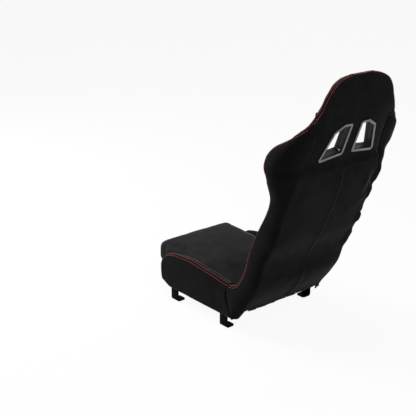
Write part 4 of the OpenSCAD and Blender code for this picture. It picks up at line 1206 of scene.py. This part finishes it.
def row_place(z):
    """Where the outer row lies: on the side at shoulder and hip, round the edge between them."""
    return (INSET - 8.5 * ease(255, 330, z) * (1 - ease(600, 668, z))
            - 2.2 * ease(668, 700, z) * (1 - ease(812, 826, z)))


def row_gap(z):
    """The inner row lies further round the edge on top of the shoulder wing."""
    return 2 * INSET + 6 * ease(690, 730, z) * (1 - ease(806, 832, z))


def edge_path(side):
    """From the base's front corner along its ridge, round the rear corner and up the wing's edge."""
    out = [(FLANK_X - 9, y, ridge_z(y, side)) for y in np.linspace(-CORNER_START - 10, CORNER_Y - 4, 100)]
    return smoothed(out + [(rim_x(z), rim_y(z), z) for z in np.arange(178, 246, 3.0)], 7)


JOIN_Z = 246        # below it a row is snapped onto the cloth, above it it follows the wing's edge
for side, name in SIDES:
    k = np.array([side, 1, 1])
    cloths = [bpy.data.objects[o + name] for o in ("side_cover_cloth_", "base_cover_cloth_")]
    pads = [bpy.data.objects[o + name] for o in ("base_bolster_cloth_", "wing_pad_cloth_")]
    edge = edge_path(side)
    tangent = units(np.gradient(edge, axis=0))
    away = np.stack([np.zeros(len(edge)), tangent[:, 2], -tangent[:, 1]], 1)
    for label in ("outer", "inner"):
        if label == "outer":
            top_z, gap = 826, lambda z: 0
            low_p, low_n = snap((edge + away * INSET + np.array([4, 0, 0])) * k,
                                [(side, 0, 0)] * len(edge), cloths)
        else:
            top_z, gap = HEAD_SPLIT - 2, row_gap
            low_p, low_n = snap((edge - np.array([INSET, 0, 0]) - away * 1.5) * k,
                                np.array([0, 0, 0.5]) - away * k, pads)
        row = [across(z, row_place(z) - gap(z)) for z in np.arange(250, top_z, 4.0)]
        up_p, up_n = (np.array(v) * k for v in zip(*row))
        low = low_p[:, 2] < JOIN_Z
        p, n = np.concatenate([low_p[low], up_p]), np.concatenate([low_n[low], up_n])
        stitches("edge_stitches_%s_%s" % (label, name), smoothed(p, 3), smoothed_normals(n, p))

# The head's front row, and over the top
p, n = row_on_grid(head_rings[:, HEAD_FRONT], INSET, "first")
p, n = p[p[:, 2] < 969], n[p[:, 2] < 969]
tx = np.linspace(52, -52, 27)
top_p = [(x, rim_y(SEAT_H) - INSET - 1.0, SEAT_H + 1.2 - 2.6 * (abs(x) / 52)**4) for x in tx]
p, n = snap(np.concatenate([p, top_p, (p * MIRROR)[::-1]]),
            np.concatenate([n, [(0, -0.25, 1.0)] * len(tx), (n * MIRROR)[::-1]]), [head])
stitches("head_stitches_inner", p, n)

# ---- studio
def sees_backdrop(nt):
    """1 for a ray from the camera, off gloss or through glass, else 0."""
    lp = nt.nodes.new("ShaderNodeLightPath")
    return math_node(nt, "MAXIMUM", lp.outputs["Is Camera Ray"], math_node(
        nt, "MAXIMUM", lp.outputs["Is Glossy Ray"], lp.outputs["Is Transmission Ray"]))


# The floor shows nearly white, and keeps the object's shadow
me = bpy.data.meshes.new("floor")
me.from_pydata([(x, y, -0.0005) for x, y in ((-14, -14), (14, -14), (14, 14), (-14, 14))], [], [(0, 1, 2, 3)])
floor = placed("floor", me)
fm, nt, b = new_mat("floor_pale")
put(b, {"Base Color": grey(0.82), "Roughness": 0.9, "Specular IOR Level": 0.1})
em = node(nt, "ShaderNodeEmission", Strength=1.0, Color=grey(1))
mix = node(nt, "ShaderNodeMixShader")
link(nt, math_node(nt, "MULTIPLY", sees_backdrop(nt), 0.93), mix, "Fac")
link(nt, b.outputs["BSDF"], mix, 1)
link(nt, em.outputs["Emission"], mix, 2)
link(nt, mix.outputs["Shader"], nt.nodes["Material Output"], "Surface")
me.materials.append(fm)

world = bpy.data.worlds.new("studio")
scene.world = world
world.use_nodes = True
wn = world.node_tree
bg = wn.nodes["Background"]
put(bg, {"Color": grey(1)})
seen = math_node(wn, "MULTIPLY", sees_backdrop(wn), 0.85)
link(wn, math_node(wn, "ADD", seen, 0.15), bg, "Strength")


def aim(ob, loc, direction):
    ob.location = loc
    ob.rotation_mode = "QUATERNION"
    ob.rotation_quaternion = direction.to_track_quat("-Z", "Y")


def area(name, loc, target, size, power):
    li = bpy.data.lights.new(name, "AREA")
    li.shape, li.size, li.energy = "SQUARE", size, power
    aim(placed(name, li), loc, Vector(target) - Vector(loc))


area("key", (1.7, -2.9, 2.0), (0, 0.1, 0.4), 1.2, 115)
area("fill", (0.9, 2.1, 2.3), (0, 0.5, 0.85), 1.2, 27)
area("top", (0.2, -0.2, 3.3), (0, 0.1, 0.3), 1.8, 38)
area("front", (0.75, -3.0, 0.75), (0.1, -0.1, 0.35), 0.9, 30)

# The camera that was fitted to the photograph
cam_data = bpy.data.cameras.new("camera")
cam = placed("camera", cam_data)
aim(cam, (2.1078, 2.3032, 1.487), Vector((-0.606, -0.721, -0.336)))
cam_data.sensor_width = 36
cam_data.lens = 75.06
cam_data.clip_start, cam_data.clip_end = 0.05, 100
scene.camera = cam
scene.view_settings.view_transform = "Standard"
